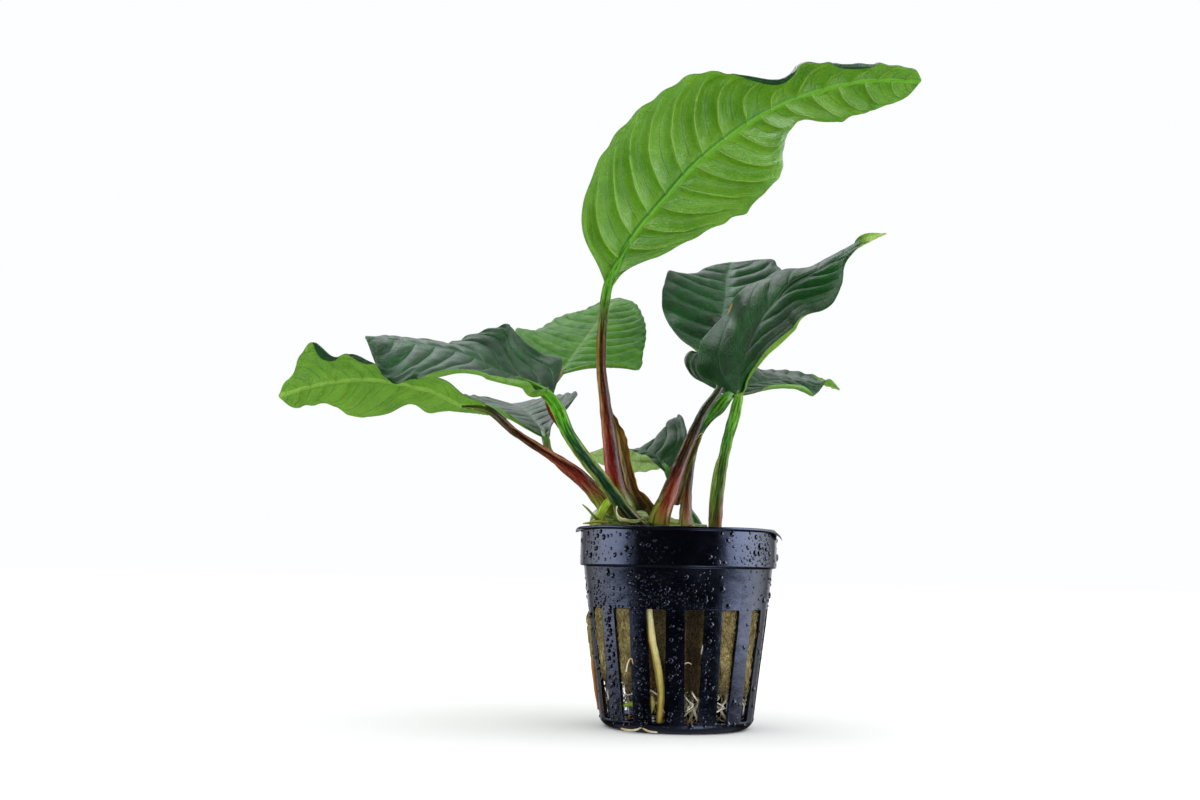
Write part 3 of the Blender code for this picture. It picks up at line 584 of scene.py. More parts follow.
        rolls=[(1, 105, [(0.06, 0), (0.14, 1.1), (0.3, 1.2), (0.5, 1.3), (0.58, 0.9), (0.62, 0)])],
        pale_from=(0.91, 0.945), veins=(9, 0.05, 0.9), puff=0.5, rows=120, columns=36, seed=8,
    ),
    "centre": dict(
        material=LIT_THROUGH_LEAF,
        midrib=[(-3, 5, 66.5), (-5.5, 9, 69.5), (-8, 13, 72), (-13.5, 19, 73), (-20, 25, 72),
                (-26.5, 30, 72)],
        roll=((0, -20), (0.25, -34), (0.42, -32), (0.6, 22), (1, 30)),
        left=[(0.03, 2.2, 1.4), (0.08, 3.6, 2.9), (0.16, 5.4, 2.0), (0.37, 6, 0.6), (0.58, 4.6, 0.4),
              (0.8, 3, -0.1)],
        right=[(0.07, 3.2, -0.3), (0.2, 8, -0.5), (0.3, 12.8, 0.6), (0.38, 15.8, 1.7), (0.52, 16, 1.8),
               (0.6, 14, 1.1), (0.7, 12.3, 0.5), (0.85, 8.6, 0.1), (0.96, 4.1, 0.2)],
        rolls=[(-1, 120, [(0.05, 0), (0.15, 2.2), (0.4, 3.0), (0.6, 1.8), (0.7, 0)])],
        veins=(9, 0.02, 0.9), puff=0.5, rows=110, columns=34, seed=9,
    ),
}


BLADE_THICKNESS = 0.45
LIFT_POWER = 1.5
VEIN_SWEEP = (0.35, 0.5)
# Places past the tip, for a blade whose upper side stays dark
NEVER = (1.1, 1.2)
# Half widths at the two ends of every blade, and the least anywhere
BASE_WIDTH = 1.1
TIP_WIDTH = 0.25
LEAST_WIDTH = 0.2
# The strip along an edge: its width where nothing is rolled, its columns, and the radius of a roll and of a
# fold
STRIP_WIDTH = 0.12
ROLL_COLUMNS = 9
ROLL_RADIUS = 0.6
FOLD_RADIUS = 0.35
# What a roll adds to the distance from the edge that the skin is coloured by
ROLL_INNER = 0.3
# Columns of points lie a little closer together at the edge
COLUMN_POWER = 0.92
# How far along the blade its basal lobes reach
LOBE_REACH = 0.12
SCALLOP = 0.16
RUFFLE = 0.3
ROUNDNESS = 0.8
# The part of a swelling that lies below the blade's plane
SWELLING_BASE = 0.35
# Half width from which a blade has its full swellings
FULL_SWELLING_WIDTH = 12
# Unevenness of the surface: lumps a millimetre, and height
BROAD_LUMPS = (0.09, 0.9)
FINE_LUMPS = (0.33, 0.14)
# Height and half width of the keel under the midrib, the groove over it and the ridge of a side vein
KEEL = (0.8, 0.6)
GROOVE = (0.3, 0.55)
RIDGE = (0.2, 0.4)


def vein_phase(shape, along, across, width, length):
    """A number that grows by one from each side vein to the next. Veins bend to the tip as they run out."""
    count, first, last = shape["veins"]
    sweep = shape.get("sweep", VEIN_SWEEP)
    near, far = (np.where(across < 0, *pair) for pair in zip(sweep, shape.get("right_sweep", sweep)))
    size = np.abs(across)
    swept = along - width * (near * size + far * size**3) / length
    return (swept - first) / (last - first) * (count - 1) + np.where(across < 0, 0.5, 0.0)


def field(points, scale, seed):
    """Smooth noise at each point, from about -1 to 1."""
    offset = Vector((seed * 7.3, seed * 3.1, 0))
    flat = points.reshape(-1, 3)
    values = [noise.noise(Vector(point) * scale + offset) for point in flat]
    return np.array(values).reshape(points.shape[:-1])


def surface_normal(grid):
    """Unit vectors out of the upper side."""
    return unit(np.cross(np.gradient(grid, axis=1), np.gradient(grid, axis=0)))


def roll_widths(shape, places, sign):
    """Width and turn of the rolled strip along one edge. A roll is side, angle, and places with widths."""
    width = np.full(len(places), STRIP_WIDTH)
    angle = np.zeros(len(places))
    for side, degrees, stations in shape.get("rolls", ()):
        if side == sign:
            first, last = stations[0][0], stations[-1][0]
            wide = np.clip(smooth_values(stations, np.clip(places, first, last))[:, 0], 0, None)
            wide = wide * (places >= first) * (places <= last)
            width = width + wide
            angle = angle + math.radians(degrees) * smooth_step(0.0, 0.7, wide)
    return width, angle


def edge_wave(shape, places, sign, width, length):
    """How far one edge stands out: a scallop for each side vein, and single bumps."""
    phase = vein_phase(shape, places, np.full(len(places), sign * 1.0), width, length)
    wave = shape.get("scallop", SCALLOP) * np.cos(2 * np.pi * phase) * smooth_step(2, 8, width)
    for side, place, reach, amount in shape.get("bumps", ()):
        if side == sign:
            wave = wave + amount * np.exp(-(((places - place) / reach) ** 2))
    return wave


def plain_blade(shape, path, length, places, steps):
    """The blade before its swellings, as a grid of points, and the width and rolled strip of each half."""
    along, side, upper = blade_frames(path, shape["roll"])
    halves, widths, strips = [], [], []
    for edge, sign, back in zip((shape["left"], shape["right"]), (-1, 1), shape.get("back", (0, 0))):
        stations = [(0.0, BASE_WIDTH, 0.0), *edge, (1.0, TIP_WIDTH, 0.0)]
        width, lift = smooth_values(stations, places).T
        width = np.maximum(width, LEAST_WIDTH)
        strip = roll_widths(shape, places, sign)
        calm = smooth_step(0.5, 0.0, strip[0] - STRIP_WIDTH)
        width = width + edge_wave(shape, places, sign, width, length) * calm
        share = steps[None, :, None]
        points = path[:, None] + sign * side[:, None] * width[:, None, None] * share
        points = points + upper[:, None] * lift[:, None, None] * share**LIFT_POWER
        lobe = back * np.exp(-((places / LOBE_REACH) ** 2))
        halves.append(points - along[:, None] * lobe[:, None, None] * share**2)
        widths.append(width)
        strips.append(strip)
    return np.concatenate([halves[0][:, :0:-1], halves[1]], axis=1), widths, strips


def surface_height(shape, grid, length, places, across, widths, strips):
    """How far each point of the blade stands above its plane: swellings between veins, ruffles and lumps."""
    rng = np.random.default_rng(shape["seed"])
    left_side = across[None] < 0
    width = np.where(left_side, widths[0][:, None], widths[1][:, None])
    rolled = np.where(left_side, strips[0][0][:, None], strips[1][0][:, None]) - STRIP_WIDTH
    phase = vein_phase(shape, places[:, None], across[None], width, length)
    cell = np.floor(phase).astype(int) + 6 + np.where(left_side, 0, 30)
    strength = rng.uniform(0.65, 1.25, 64)[np.clip(cell, 0, 63)]
    swell = np.abs(np.sin(np.pi * (phase - np.floor(phase)))) ** shape.get("round", ROUNDNESS) * strength
    size = np.abs(across)
    calm = smooth_step(0.5, 0.0, rolled)
    fade = smooth_step(0.03, 0.2, size) * (1 - (1 - smooth_step(1.0, 0.75, size)) * 0.8)
    fade = fade * smooth_step(0, 0.06, places)[:, None] * smooth_step(1.0, 0.85, places)[:, None]
    uneven = np.where(left_side, *shape.get("swelling", (1, 1)))
    uneven = uneven * (1 - shape.get("smooth_margin", 0) * smooth_step(0.35, 0.7, across)[None])
    wide = np.clip(width / FULL_SWELLING_WIDTH, 0.2, 1)
    height = shape["puff"] * (swell - SWELLING_BASE) * fade * wide * uneven
    broad = field(grid, BROAD_LUMPS[0], shape["seed"]) * BROAD_LUMPS[1]
    height = height + broad * smooth_step(0.1, 0.9, size) * fade * calm
    height = height + field(grid, FINE_LUMPS[0], shape["seed"] + 9) * FINE_LUMPS[1] * fade
    ruffle = np.sin(2 * np.pi * (phase + 0.25)) * size**4 * smooth_step(3, 9, width) * calm
    height = height + shape.get("ruffle", RUFFLE) * ruffle * smooth_step(0, 0.1, places)[:, None]
    for place, at, reach, amount in shape.get("lumps", ()):
        away = ((places[:, None] - place) * length) ** 2 + ((across[None] - at) * width) ** 2
        height = height + amount * np.exp(-away / reach**2)
    return height * (1 - smooth_step(0.85, 1.0, size) * (1 - calm))


def line_profile(profile, distance, taper=1):
    """Height of a rounded line, such as a keel, at a distance from its middle."""
    height, half_width = profile
    return height * np.exp(-((distance / (half_width * taper)) ** 2))


def blade_skins(grid, places, size, middle, to_vein):
    """The upper and lower skin, with a groove and a keel along the midrib and ridges at the side veins."""
    normal = surface_normal(grid)
    taper = (1 - 0.65 * places)[:, None]
    keel = line_profile(KEEL, middle, taper) * smooth_step(1.02, 0.1, places)[:, None]
    ridge = line_profile(RIDGE, to_vein) * smooth_step(1.0, 0.6, size)
    groove = line_profile(GROOVE, middle) * smooth_step(1.0, 0.3, places)[:, None]
    thickness = BLADE_THICKNESS * (0.45 + 0.55 * smooth_step(1.1, 0.85, size))
    top = grid + normal * (thickness / 2 - groove - ridge * 0.6)[..., None]
    return top, grid - normal * (thickness / 2 + keel + ridge)[..., None]


def scar_mask(shape, places, across, width, length):
    """Shows where the scars are. Each is a place, a part of the half width and a reach."""
    made = np.zeros(across.shape)
    for place, at, reach in shape.get("scars", ()):
        away = ((places[:, None] - place) * length / 2) ** 2 + ((across - at) * width) ** 2
        made = np.maximum(made, smooth_step(reach * 1.3, reach * 0.7, np.sqrt(away)))
    return made


def blade(name, shape):
    """A leaf blade with side veins, swellings between them, a keel under its midrib and rolled edges."""
    rows, columns = shape["rows"], shape["columns"]
    path = smooth_path(shape["midrib"], rows)
    length = np.linalg.norm(np.diff(path, axis=0), axis=1).sum()
    places = np.linspace(0, 1, rows + 1)
    steps = np.linspace(0, 1, columns + 1) ** COLUMN_POWER
    grid, widths, strips = plain_blade(shape, path, length, places, steps)
    across = np.concatenate([-steps[:0:-1], steps])
    height = surface_height(shape, grid, length, places, across, widths, strips)
    grid = grid + surface_normal(grid) * height[..., None]

    grid, wide_across, inner_edge = add_rolls(grid, across, strips)
    shown = grid.shape[:2]
    across = np.broadcast_to(wide_across[None], shown)
    width = np.where(across < 0, widths[0][:, None], widths[1][:, None])
    phase = vein_phase(shape, places[:, None], np.clip(across, -1, 1), width, length)
    signed = across * width
    count, first, last = shape["veins"]
    spacing = length * (last - first) / (count - 1)
    to_vein = np.abs(phase - np.round(phase)) * spacing
    points, faces = slab(*blade_skins(grid, places, np.abs(across), np.abs(signed), to_vein))
    along = np.broadcast_to(places[:, None], shown)
    edge = (1 - np.minimum(np.abs(across), 1)) * width + inner_edge
    both = {"across": np.abs(across), "phase": phase + 20, "edge": edge, "middle": signed,
            "spacing": np.full(shown, spacing), "scar": scar_mask(shape, places, across, width, length),
            "place": along, "pale": smooth_step(*shape.get("pale_from", NEVER), along)}
    attributes = {label: np.tile(values.reshape(-1), 2) for label, values in both.items()}
    attributes["under"] = np.repeat([0.0, 1.0], along.size)
    piece = mesh_piece(f"{name}_leaf", points, faces, shape["material"], attributes)
    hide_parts(f"{name}_blade")


def add_rolls(grid, across, strips):
    """Adds a narrow strip along each edge, which turns over where the edge is rolled."""
    normal = surface_normal(grid)
    sides = []
    for at, inner, (width, angle) in ((0, 2, strips[0]), (-1, -3, strips[1])):
        outward = unit(grid[:, at] - grid[:, inner])
        up = unit(normal[:, inner] - outward * (normal[:, inner] * outward).sum(axis=1, keepdims=True))
        step = width / ROLL_COLUMNS
        point = grid[:, at]
        bend = np.maximum(np.abs(angle) * np.where(angle < 0, FOLD_RADIUS, ROLL_RADIUS), 1e-6)
        made = []
        for column in range(1, ROLL_COLUMNS + 1):
            turned = angle * np.clip(step * (column - 0.5) / bend, 0, 1)
            point = point + (outward * np.cos(turned)[:, None] + up * np.sin(turned)[:, None]) * step[:, None]
            made.append(point)
        sides.append(np.stack(made[::-1] if at == 0 else made, axis=1))
    wider = np.concatenate([sides[0], grid, sides[1]], axis=1)
    outside = np.linspace(1.0, 1.1, ROLL_COLUMNS + 1)[1:]
    size = np.concatenate([-outside[::-1], across, outside])
    inner = np.concatenate([np.linspace(0, ROLL_INNER, ROLL_COLUMNS), np.full(len(across), ROLL_INNER),
                            np.linspace(ROLL_INNER, 0, ROLL_COLUMNS)])
    return wider, size, np.broadcast_to(inner[None], wider.shape[:2])


for leaf_name, leaf_shape in LEAVES.items():
    blade(leaf_name, leaf_shape)


# Stalks, sheaths and rhizome

# How far the cap on the end of a tube stands out, in parts of its radius
CAP = 0.4
# Half width of the hollow along the front of a stalk, in parts of its radius
CHANNEL_WIDTH = 0.45
# Unevenness of the stalks and of the sheaths: lumps a millimetre, and height
STALK_LUMPS = (0.45, 0.14)
SHEET_LUMPS = (0.5, 0.12)
SHEET_THICKNESS = 0.28
# Where a stalk's middle colour starts to change and where its side colour is full, in parts of the radius
EDGES = (0.1, 0.7)


def tube_points(route, rings, sides, channel=0.0, lumps=0.0, seed=0):
    """Rings of points round a route of x, y, z and radius. A channel is a hollow along the front.

    Also gives the run along the route, each point's turn and how far right it is, in parts of the radius."""
    path = smooth_path(route, rings)
    along = unit(np.gradient(path[:, :3], axis=0))
    first, second = tube_frames(path[:, :3])
    turn = np.linspace(0, 2 * np.pi, sides, endpoint=False)
    ring = np.cos(turn)[None, :, None] * first[:, None] + np.sin(turn)[None, :, None] * second[:, None]
    across = (ring * unit(np.cross(np.array([0.0, 1.0, 0.0]), along))[:, None]).sum(axis=2)
    hollow = channel * np.exp(-((across / CHANNEL_WIDTH) ** 2)) * np.clip(-ring[..., 1], 0, 1)
    radius = path[:, 3][:, None] * (1 - hollow)
    points = path[:, None, :3] + ring * radius[..., None]
    if lumps:
        points = points + ring * (field(points, STALK_LUMPS[0], seed) * lumps)[..., None]
    run = np.concatenate([[0], np.cumsum(np.linalg.norm(np.diff(path[:, :3], axis=0), axis=1))])
    return points, run, turn, across


def tube_mesh(points):
    """Closes rings of points into a skin with a rounded cap on each end."""
    rows, sides = points.shape[:2]
    flat = points.reshape(-1, 3)
    start = flat[:sides].mean(axis=0)
    end = flat[-sides:].mean(axis=0)
    before = start - unit(points[1].mean(axis=0) - start) * np.linalg.norm(flat[0] - start) * CAP
    after = end + unit(end - points[-2].mean(axis=0)) * np.linalg.norm(flat[-1] - end) * CAP
    return np.vstack([flat, before, after]), capped_faces(rows, sides)


def blend_stops(stops, places):
    """Colours at the places, from stops of (place, display colour)."""
    at = [stop[0] for stop in stops]
    colours = np.array([linear(*stop[1]) for stop in stops])
    return np.stack([np.interp(places, at, colours[:, channel]) for channel in range(3)], axis=-1)


def stalk(name, route, stops, node=None, channel=0.0, rings=70, sides=24, slot="stalk", material=STALK,
          edges=EDGES):
    """A stalk, shoot or root. Its colours are given at heights, for its left side, middle and right side."""
    points, run, turn, across = tube_points(route, rings, sides, channel, STALK_LUMPS[1], len(name))
    height = points[..., 2]
    left, middle, right = (blend_stops([(stop[0], stop[min(side, len(stop) - 1)]) for stop in stops], height)
                           for side in (1, 2, 3))
    to_left = smooth_step(-edges[0], -edges[1], across)[..., None]
    to_right = smooth_step(*edges, across)[..., None]
    colours = middle * (1 - to_left - to_right) + left * to_left + right * to_right
    flat, faces = tube_mesh(points)
    colours = np.vstack([colours.reshape(-1, 3), colours[0, :1], colours[-1, :1]])
    around = np.append(np.tile(np.minimum(turn, 2 * np.pi - turn), rings + 1), [0, 0])
    length = np.append(np.repeat(run, sides), [0, run[-1]])
    attributes = {"tint": colours, "around": around, "run": length}
    piece = mesh_piece(name, flat, faces, material, attributes)
    if node:
        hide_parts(node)


LIME = (128, 165, 48)
BRIGHT = (92, 170, 36)
YELLOW_GREEN = (146, 158, 56)

# route: x, y, z and radius. stops: height, then the colour at the left, in the middle and at the right, or
# one colour. The side colours are partly painted light and shade: a paler lit side, a darker shaded side and,
# on some stalks, pinkish painted highlights.
STALKS = {
    "tall": dict(
        route=[(-14, -0.6, 53.4, 3.2), (-14.6, -1.2, 56.4, 3.1), (-15.2, -1.7, 58.6, 2.75),
               (-16.2, -2.3, 61, 2.45), (-17.3, -3, 66, 2.25), (-18.4, -4, 74, 1.9), (-19.8, -6, 84, 1.5),
               (-20.7, -8.2, 92.5, 1.3), (-20.6, -10.2, 102, 1.25), (-19.3, -12, 112.5, 1.3),
               (-16.8, -14, 118, 1.0), (-13.5, -16.3, 124, 0.5)],
        stops=[(56, LIME), (59.5, (150, 150, 48), (146, 132, 44), (96, 90, 30)),
               (62, (150, 84, 36), (130, 52, 24), (80, 22, 12)),
               (64.5, (180, 66, 40), (124, 18, 12), (76, 6, 4)),
               (70, (168, 70, 40), (112, 14, 10), (66, 4, 4)),
               (75, (176, 90, 40), (104, 16, 12), (68, 8, 6)),
               (80, (176, 120, 50), (92, 26, 16), (76, 22, 16)),
               (90, (164, 126, 44), (60, 28, 14), (92, 44, 30)),
               (100, (140, 122, 40), (70, 50, 18), (86, 58, 28)),
               (106, (104, 136, 36), (74, 106, 26), (86, 110, 32)), (112, BRIGHT)],
    ),
    "low_left": dict(
        route=[(-17.4, 1, 54.6, 2.7), (-19.4, 0.9, 56.9, 2.5), (-21.2, 1, 58.9, 2.3), (-24, 1, 62, 1.95),
               (-28, 0.8, 65.8, 1.6), (-35.5, -1, 70.5, 1.25), (-43.5, -3, 75.5, 1.05), (-49, -6, 80.2, 1.1),
               (-52.5, -7.2, 81.5, 1), (-57, -8.3, 81.6, 0.6)],
        stops=[(56, YELLOW_GREEN), (58.5, (130, 130, 44)),
               (60.5, (140, 80, 52), (160, 96, 66), (120, 80, 36)),
               (63, (150, 50, 26), (120, 30, 12), (84, 14, 8)),
               (67, (150, 60, 28), (92, 22, 8), (130, 40, 14)),
               (72, (108, 60, 26), (40, 14, 6), (160, 80, 26)),
               (76, (100, 74, 34), (36, 14, 6), (156, 90, 34)),
               (79.5, (92, 96, 36), (46, 34, 10), (40, 30, 10)),
               (81.5, (100, 126, 34), (60, 86, 18), (36, 60, 14)), (84, BRIGHT)],
    ),
    "long_left": dict(
        route=[(-8.5, -3, 50.6, 1.4), (-10.2, -6.4, 51.6, 1.7), (-13.4, -9, 54.7, 1.85),
               (-16.7, -10, 58.8, 1.8), (-20.7, -11, 64, 1.75), (-24.8, -13, 69, 1.7),
               (-28.6, -15, 74.5, 1.65), (-31, -16, 80, 1.75), (-33.8, -16.2, 83.8, 1.5),
               (-37.5, -17, 86, 1.1), (-42, -18.2, 88, 0.6)],
        stops=[(50, (92, 84, 34), (34, 52, 28), (80, 52, 28)),
               (55, (110, 100, 40), (28, 54, 32), (96, 80, 38)),
               (58, (130, 136, 46), (24, 66, 38), (100, 120, 44)),
               (63, (150, 176, 56), (20, 70, 40), (130, 156, 52)),
               (68, (150, 182, 58), (18, 72, 42), (140, 168, 54)),
               (72, (146, 190, 56), (28, 90, 40), (120, 156, 52)),
               (75, (126, 186, 46), (56, 140, 32), (50, 120, 34)),
               (78, (112, 184, 40), (84, 174, 32), (100, 168, 46)),
               (82, (118, 188, 46), (80, 170, 28), (112, 178, 52)),
               (87, (130, 190, 56), (100, 176, 40), (94, 158, 52))],
        channel=0.35, edges=(0.58, 0.8),
    ),
    "rear_left": dict(
        route=[(-15.5, 6, 55.5, 1.5), (-16.5, 6.5, 56.8, 1.4), (-22, 7, 64.5, 0.9), (-27.5, 7, 72, 0.75),
               (-31.5, 6, 77, 0.75), (-35, 5, 82.5, 0.8), (-35.5, 3.5, 87, 0.9), (-33, 3.4, 91.2, 1),
               (-31.5, 6.5, 93.4, 0.6)],
        stops=[(55, (108, 100, 40)), (62, (92, 34, 24)), (76, (128, 52, 32), (150, 62, 36), (110, 40, 26)),
               (87, (140, 60, 36)), (92, (120, 130, 50))],
    ),
    "small_left": dict(
        route=[(-19, 4.2, 55, 1.3), (-20.5, 4.5, 56.4, 1.2), (-25, 5, 61.5, 1), (-31.5, 4.5, 67, 0.95),
               (-34.8, 3.8, 71, 0.95), (-35.9, 3.7, 74.4, 1), (-37.2, 7, 76.3, 0.6)],
        stops=[(55, (108, 100, 40)), (60, (92, 34, 24)), (67, (150, 82, 40)), (71, (120, 130, 60)),
               (75, (88, 150, 60))],
    ),
    "front_right": dict(
        route=[(9.3, 1.6, 49.2, 1.8), (9.5, 1.5, 51, 1.8), (10, 1, 58.5, 1.65), (11, 0, 66.5, 1.45),
               (12.5, -2, 74.5, 1.4), (14, -4, 80, 1.5), (15, -5.4, 84.5, 1.3), (15.6, -6.2, 87, 0.7)],
        stops=[(49, (116, 106, 44), (78, 76, 34), (146, 76, 44)),
               (54, (118, 120, 50), (72, 84, 34), (138, 74, 40)),
               (58, (120, 158, 60), (56, 98, 34), (122, 98, 48)),
               (64, (130, 174, 64), (46, 94, 30), (110, 132, 58)),
               (69, (110, 162, 58), (40, 102, 26), (112, 152, 60)),
               (75, (58, 130, 34), (60, 142, 30), (110, 180, 60)),
               (80, (88, 160, 44), (100, 180, 40), (112, 184, 60)),
               (84, (58, 140, 30), (104, 184, 44), (130, 190, 62)), (90, (120, 184, 60))],
        channel=0.2,
    ),
    "rear_right": dict(
        route=[(-5.2, -1.6, 52, 2.9), (-4.7, -1.9, 54.5, 2.7), (-3, -1, 59, 2.25), (0, 0.5, 67.5, 1.7),
               (3, 1.5, 75, 1.4), (6, 2.6, 81.8, 1.2), (8.2, 3.5, 85.2, 1.1), (10.2, 4.8, 88.2, 1.1),
               (11, 7.4, 91.8, 1.1), (10.8, 11, 95.2, 0.6)],
        stops=[(52, (150, 168, 66), (140, 140, 50), (128, 104, 40)),
               (55, (150, 160, 60), (146, 80, 34), (140, 100, 46)),
               (58, (112, 116, 36), (140, 46, 24), (176, 104, 84)),
               (61.5, (92, 48, 22), (128, 36, 24), (160, 86, 74)),
               (65, (72, 30, 16), (84, 26, 18), (150, 96, 88)),
               (69, (62, 38, 16), (44, 34, 14), (120, 88, 80)),
               (74, (90, 42, 24), (34, 34, 12), (110, 84, 78)),
               (79.5, (44, 48, 20), (26, 40, 14), (88, 74, 76)),
               (85, (36, 66, 26), (28, 48, 18), (94, 90, 82)),
               (90, (34, 64, 30), (34, 64, 30), (48, 70, 48))],
        channel=0.2,
    ),
    "low_right": dict(
        route=[(1.8, 1.2, 51.5, 1.9), (1.8, 1.4, 54, 1.75), (2.1, 3.4, 62, 1.35), (3.4, 5.2, 71, 1.1),
               (5.4, 6.4, 77.2, 1.0), (8, 6.9, 81, 1.2), (9.8, 7, 83.2, 1.8), (11.4, 7.1, 85.4, 1.9),
               (12.8, 7.4, 86.8, 1.4), (15.5, 10.5, 89.2, 0.6)],
        stops=[(51, (160, 166, 84), (156, 146, 84), (150, 130, 96)),
               (55, (176, 166, 108), (136, 76, 46), (160, 126, 112)),
               (59, (136, 134, 64), (120, 54, 34), (146, 116, 108)),
               (63, (104, 94, 48), (72, 46, 34), (84, 72, 78)),
               (69, (46, 58, 26), (42, 66, 46), (62, 76, 58)),
               (75, (30, 50, 18), (36, 76, 26), (48, 88, 40)),
               (78, (26, 60, 18), (48, 108, 32), (60, 108, 42)),
               (80.5, (60, 142, 28), (76, 156, 32), (60, 120, 32)),
               (87, (68, 152, 32), BRIGHT, (76, 140, 42))],
    ),
    "centre": dict(
        route=[(5.2, 7.8, 51.5, 1.3), (4.5, 8, 53, 1.2), (1.5, 8.5, 57.5, 1.1), (-1, 7.5, 61.5, 1),
               (-2.9, 5.2, 65.8, 1.05), (-4.2, 7, 68.2, 0.6)],
        stops=[(52, (60, 112, 36)), (60, (72, 130, 44)), (66, (96, 160, 60))],
    ),
}
for stalk_name, data in STALKS.items():
    stalk(f"{stalk_name}_petiole", node=f"{stalk_name}_stalk", **data)

RHIZOME = [(-23, 2.0, 51.8, 1.6), (-21.5, 2.0, 52.2, 3.4), (-19.6, 1.8, 52.3, 4.2), (-17.5, 1.8, 52.2, 3.6),
           (-14.8, 1.8, 52.2, 4.4), (-12.5, 2, 52, 3.6), (-9.8, 2.2, 51.8, 4.0), (-7.5, 2.5, 51.5, 3.2),
           (-4.5, 2.5, 51.3, 3.6), (-1.5, 2.5, 50.9, 2.8), (1.5, 2.7, 50.6, 2.9), (4, 3, 50.2, 2.3),
           (7.2, 3.5, 50, 2.2)]
RHIZOME_STOPS = [(46, (96, 84, 40)), (50, (146, 176, 96)), (53, (178, 208, 124)), (55.5, (206, 224, 170))]
stalk("creeping_rhizome", RHIZOME, RHIZOME_STOPS, "rhizome", rings=110, sides=32, slot="rhizome")
YOUNG_ROOT = [(-18, -3, 58.2, 0.8), (-18.8, -3.5, 57, 1.05), (-20, -4, 54.8, 1.15),
              (-21.2, -4.6, 51.6, 1.15), (-21.5, -5, 48.4, 1.0), (-21.4, -5.2, 46.6, 0.8)]
YOUNG_ROOT_STOPS = [(47, (222, 222, 150)), (51, (190, 220, 86)), (55, (186, 224, 62)), (58, (164, 212, 48))]
stalk("pale_young_root", YOUNG_ROOT, YOUNG_ROOT_STOPS, "young_root", rings=40, slot="rhizome")
SHOOTS = {
    "green_sliver": ([(-25, -7, 56.6, 0.15), (-23.2, -7, 55, 0.35), (-21.9, -6.6, 53.6, 0.45),
                      (-19.5, -4, 51.5, 0.6)],
                     [(51, (120, 150, 60)), (57, (130, 160, 60))]),
    "hidden_green_shoot": ([(0.9, 6, 57.4, 0.4), (1.9, 6, 55.4, 1.2), (3, 6, 53, 1.1), (3.6, 5.6, 50.6, 0.9)],
                           [(50, (50, 100, 40)), (57, (70, 130, 40))]),
    "yellow_stub": ([(-24.4, -12, 51.5, 0.2), (-22.8, -12.2, 51.7, 0.35), (-20.8, -11.6, 52.1, 0.4),
                     (-18.4, -8.6, 51.9, 0.5)],
                    [(50, (150, 140, 60)), (53, (170, 176, 70))]),
}
for shoot_name, (route, stops) in SHOOTS.items():
    stalk(shoot_name, route, stops, rings=30, sides=14, slot="rhizome")


def sheet(name, lines, colours, node=None, frill=0.0, rows=70, columns=16, seed=3):
    """A thin papery sheet that runs through lines of points, with a little unevenness along its edges.

    Each colour is a place across the sheet, then stops of (place along it, display colour)."""
    rails = np.stack([smooth_path(line, rows) for line in lines], axis=1)
    steps = np.linspace(0, 1, columns + 1)
    at = np.linspace(0, 1, len(lines))
    crossings = [[(place, *point) for place, point in zip(at, row)] for row in rails]
    grid = np.stack([smooth_values(stations, steps) for stations in crossings])
    normal = surface_normal(grid)
    edge = np.abs(steps * 2 - 1) ** 3
    grid = grid + normal * (field(grid, SHEET_LUMPS[0], seed) * (SHEET_LUMPS[1] + frill * edge))[..., None]
    normal = surface_normal(grid)
    thin = normal * (SHEET_THICKNESS / 2 * (1 - 0.6 * edge))[None, :, None]
    points, faces = slab(grid + thin, grid - thin)
    run = np.linspace(0, 1, rows + 1)
    bands = np.stack([blend_stops(stops, run) for _, stops in colours], axis=1)
    places = [place for place, _ in colours]
    channels = [[np.interp(steps, places, row[:, channel]) for row in bands] for channel in range(3)]
    tint = np.stack(channels, axis=-1)
    length = np.linalg.norm(np.diff(rails[:, 0], axis=0), axis=1).sum()
    attributes = {"tint": np.tile(tint.reshape(-1, 3), (2, 1)), "around": np.tile(steps * 2, 2 * (rows + 1)),
                  "run": np.tile(np.repeat(run * length, columns + 1), 2)}
    piece = mesh_piece(name, points, faces, SHEATH, attributes)
    if node:
        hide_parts(node)


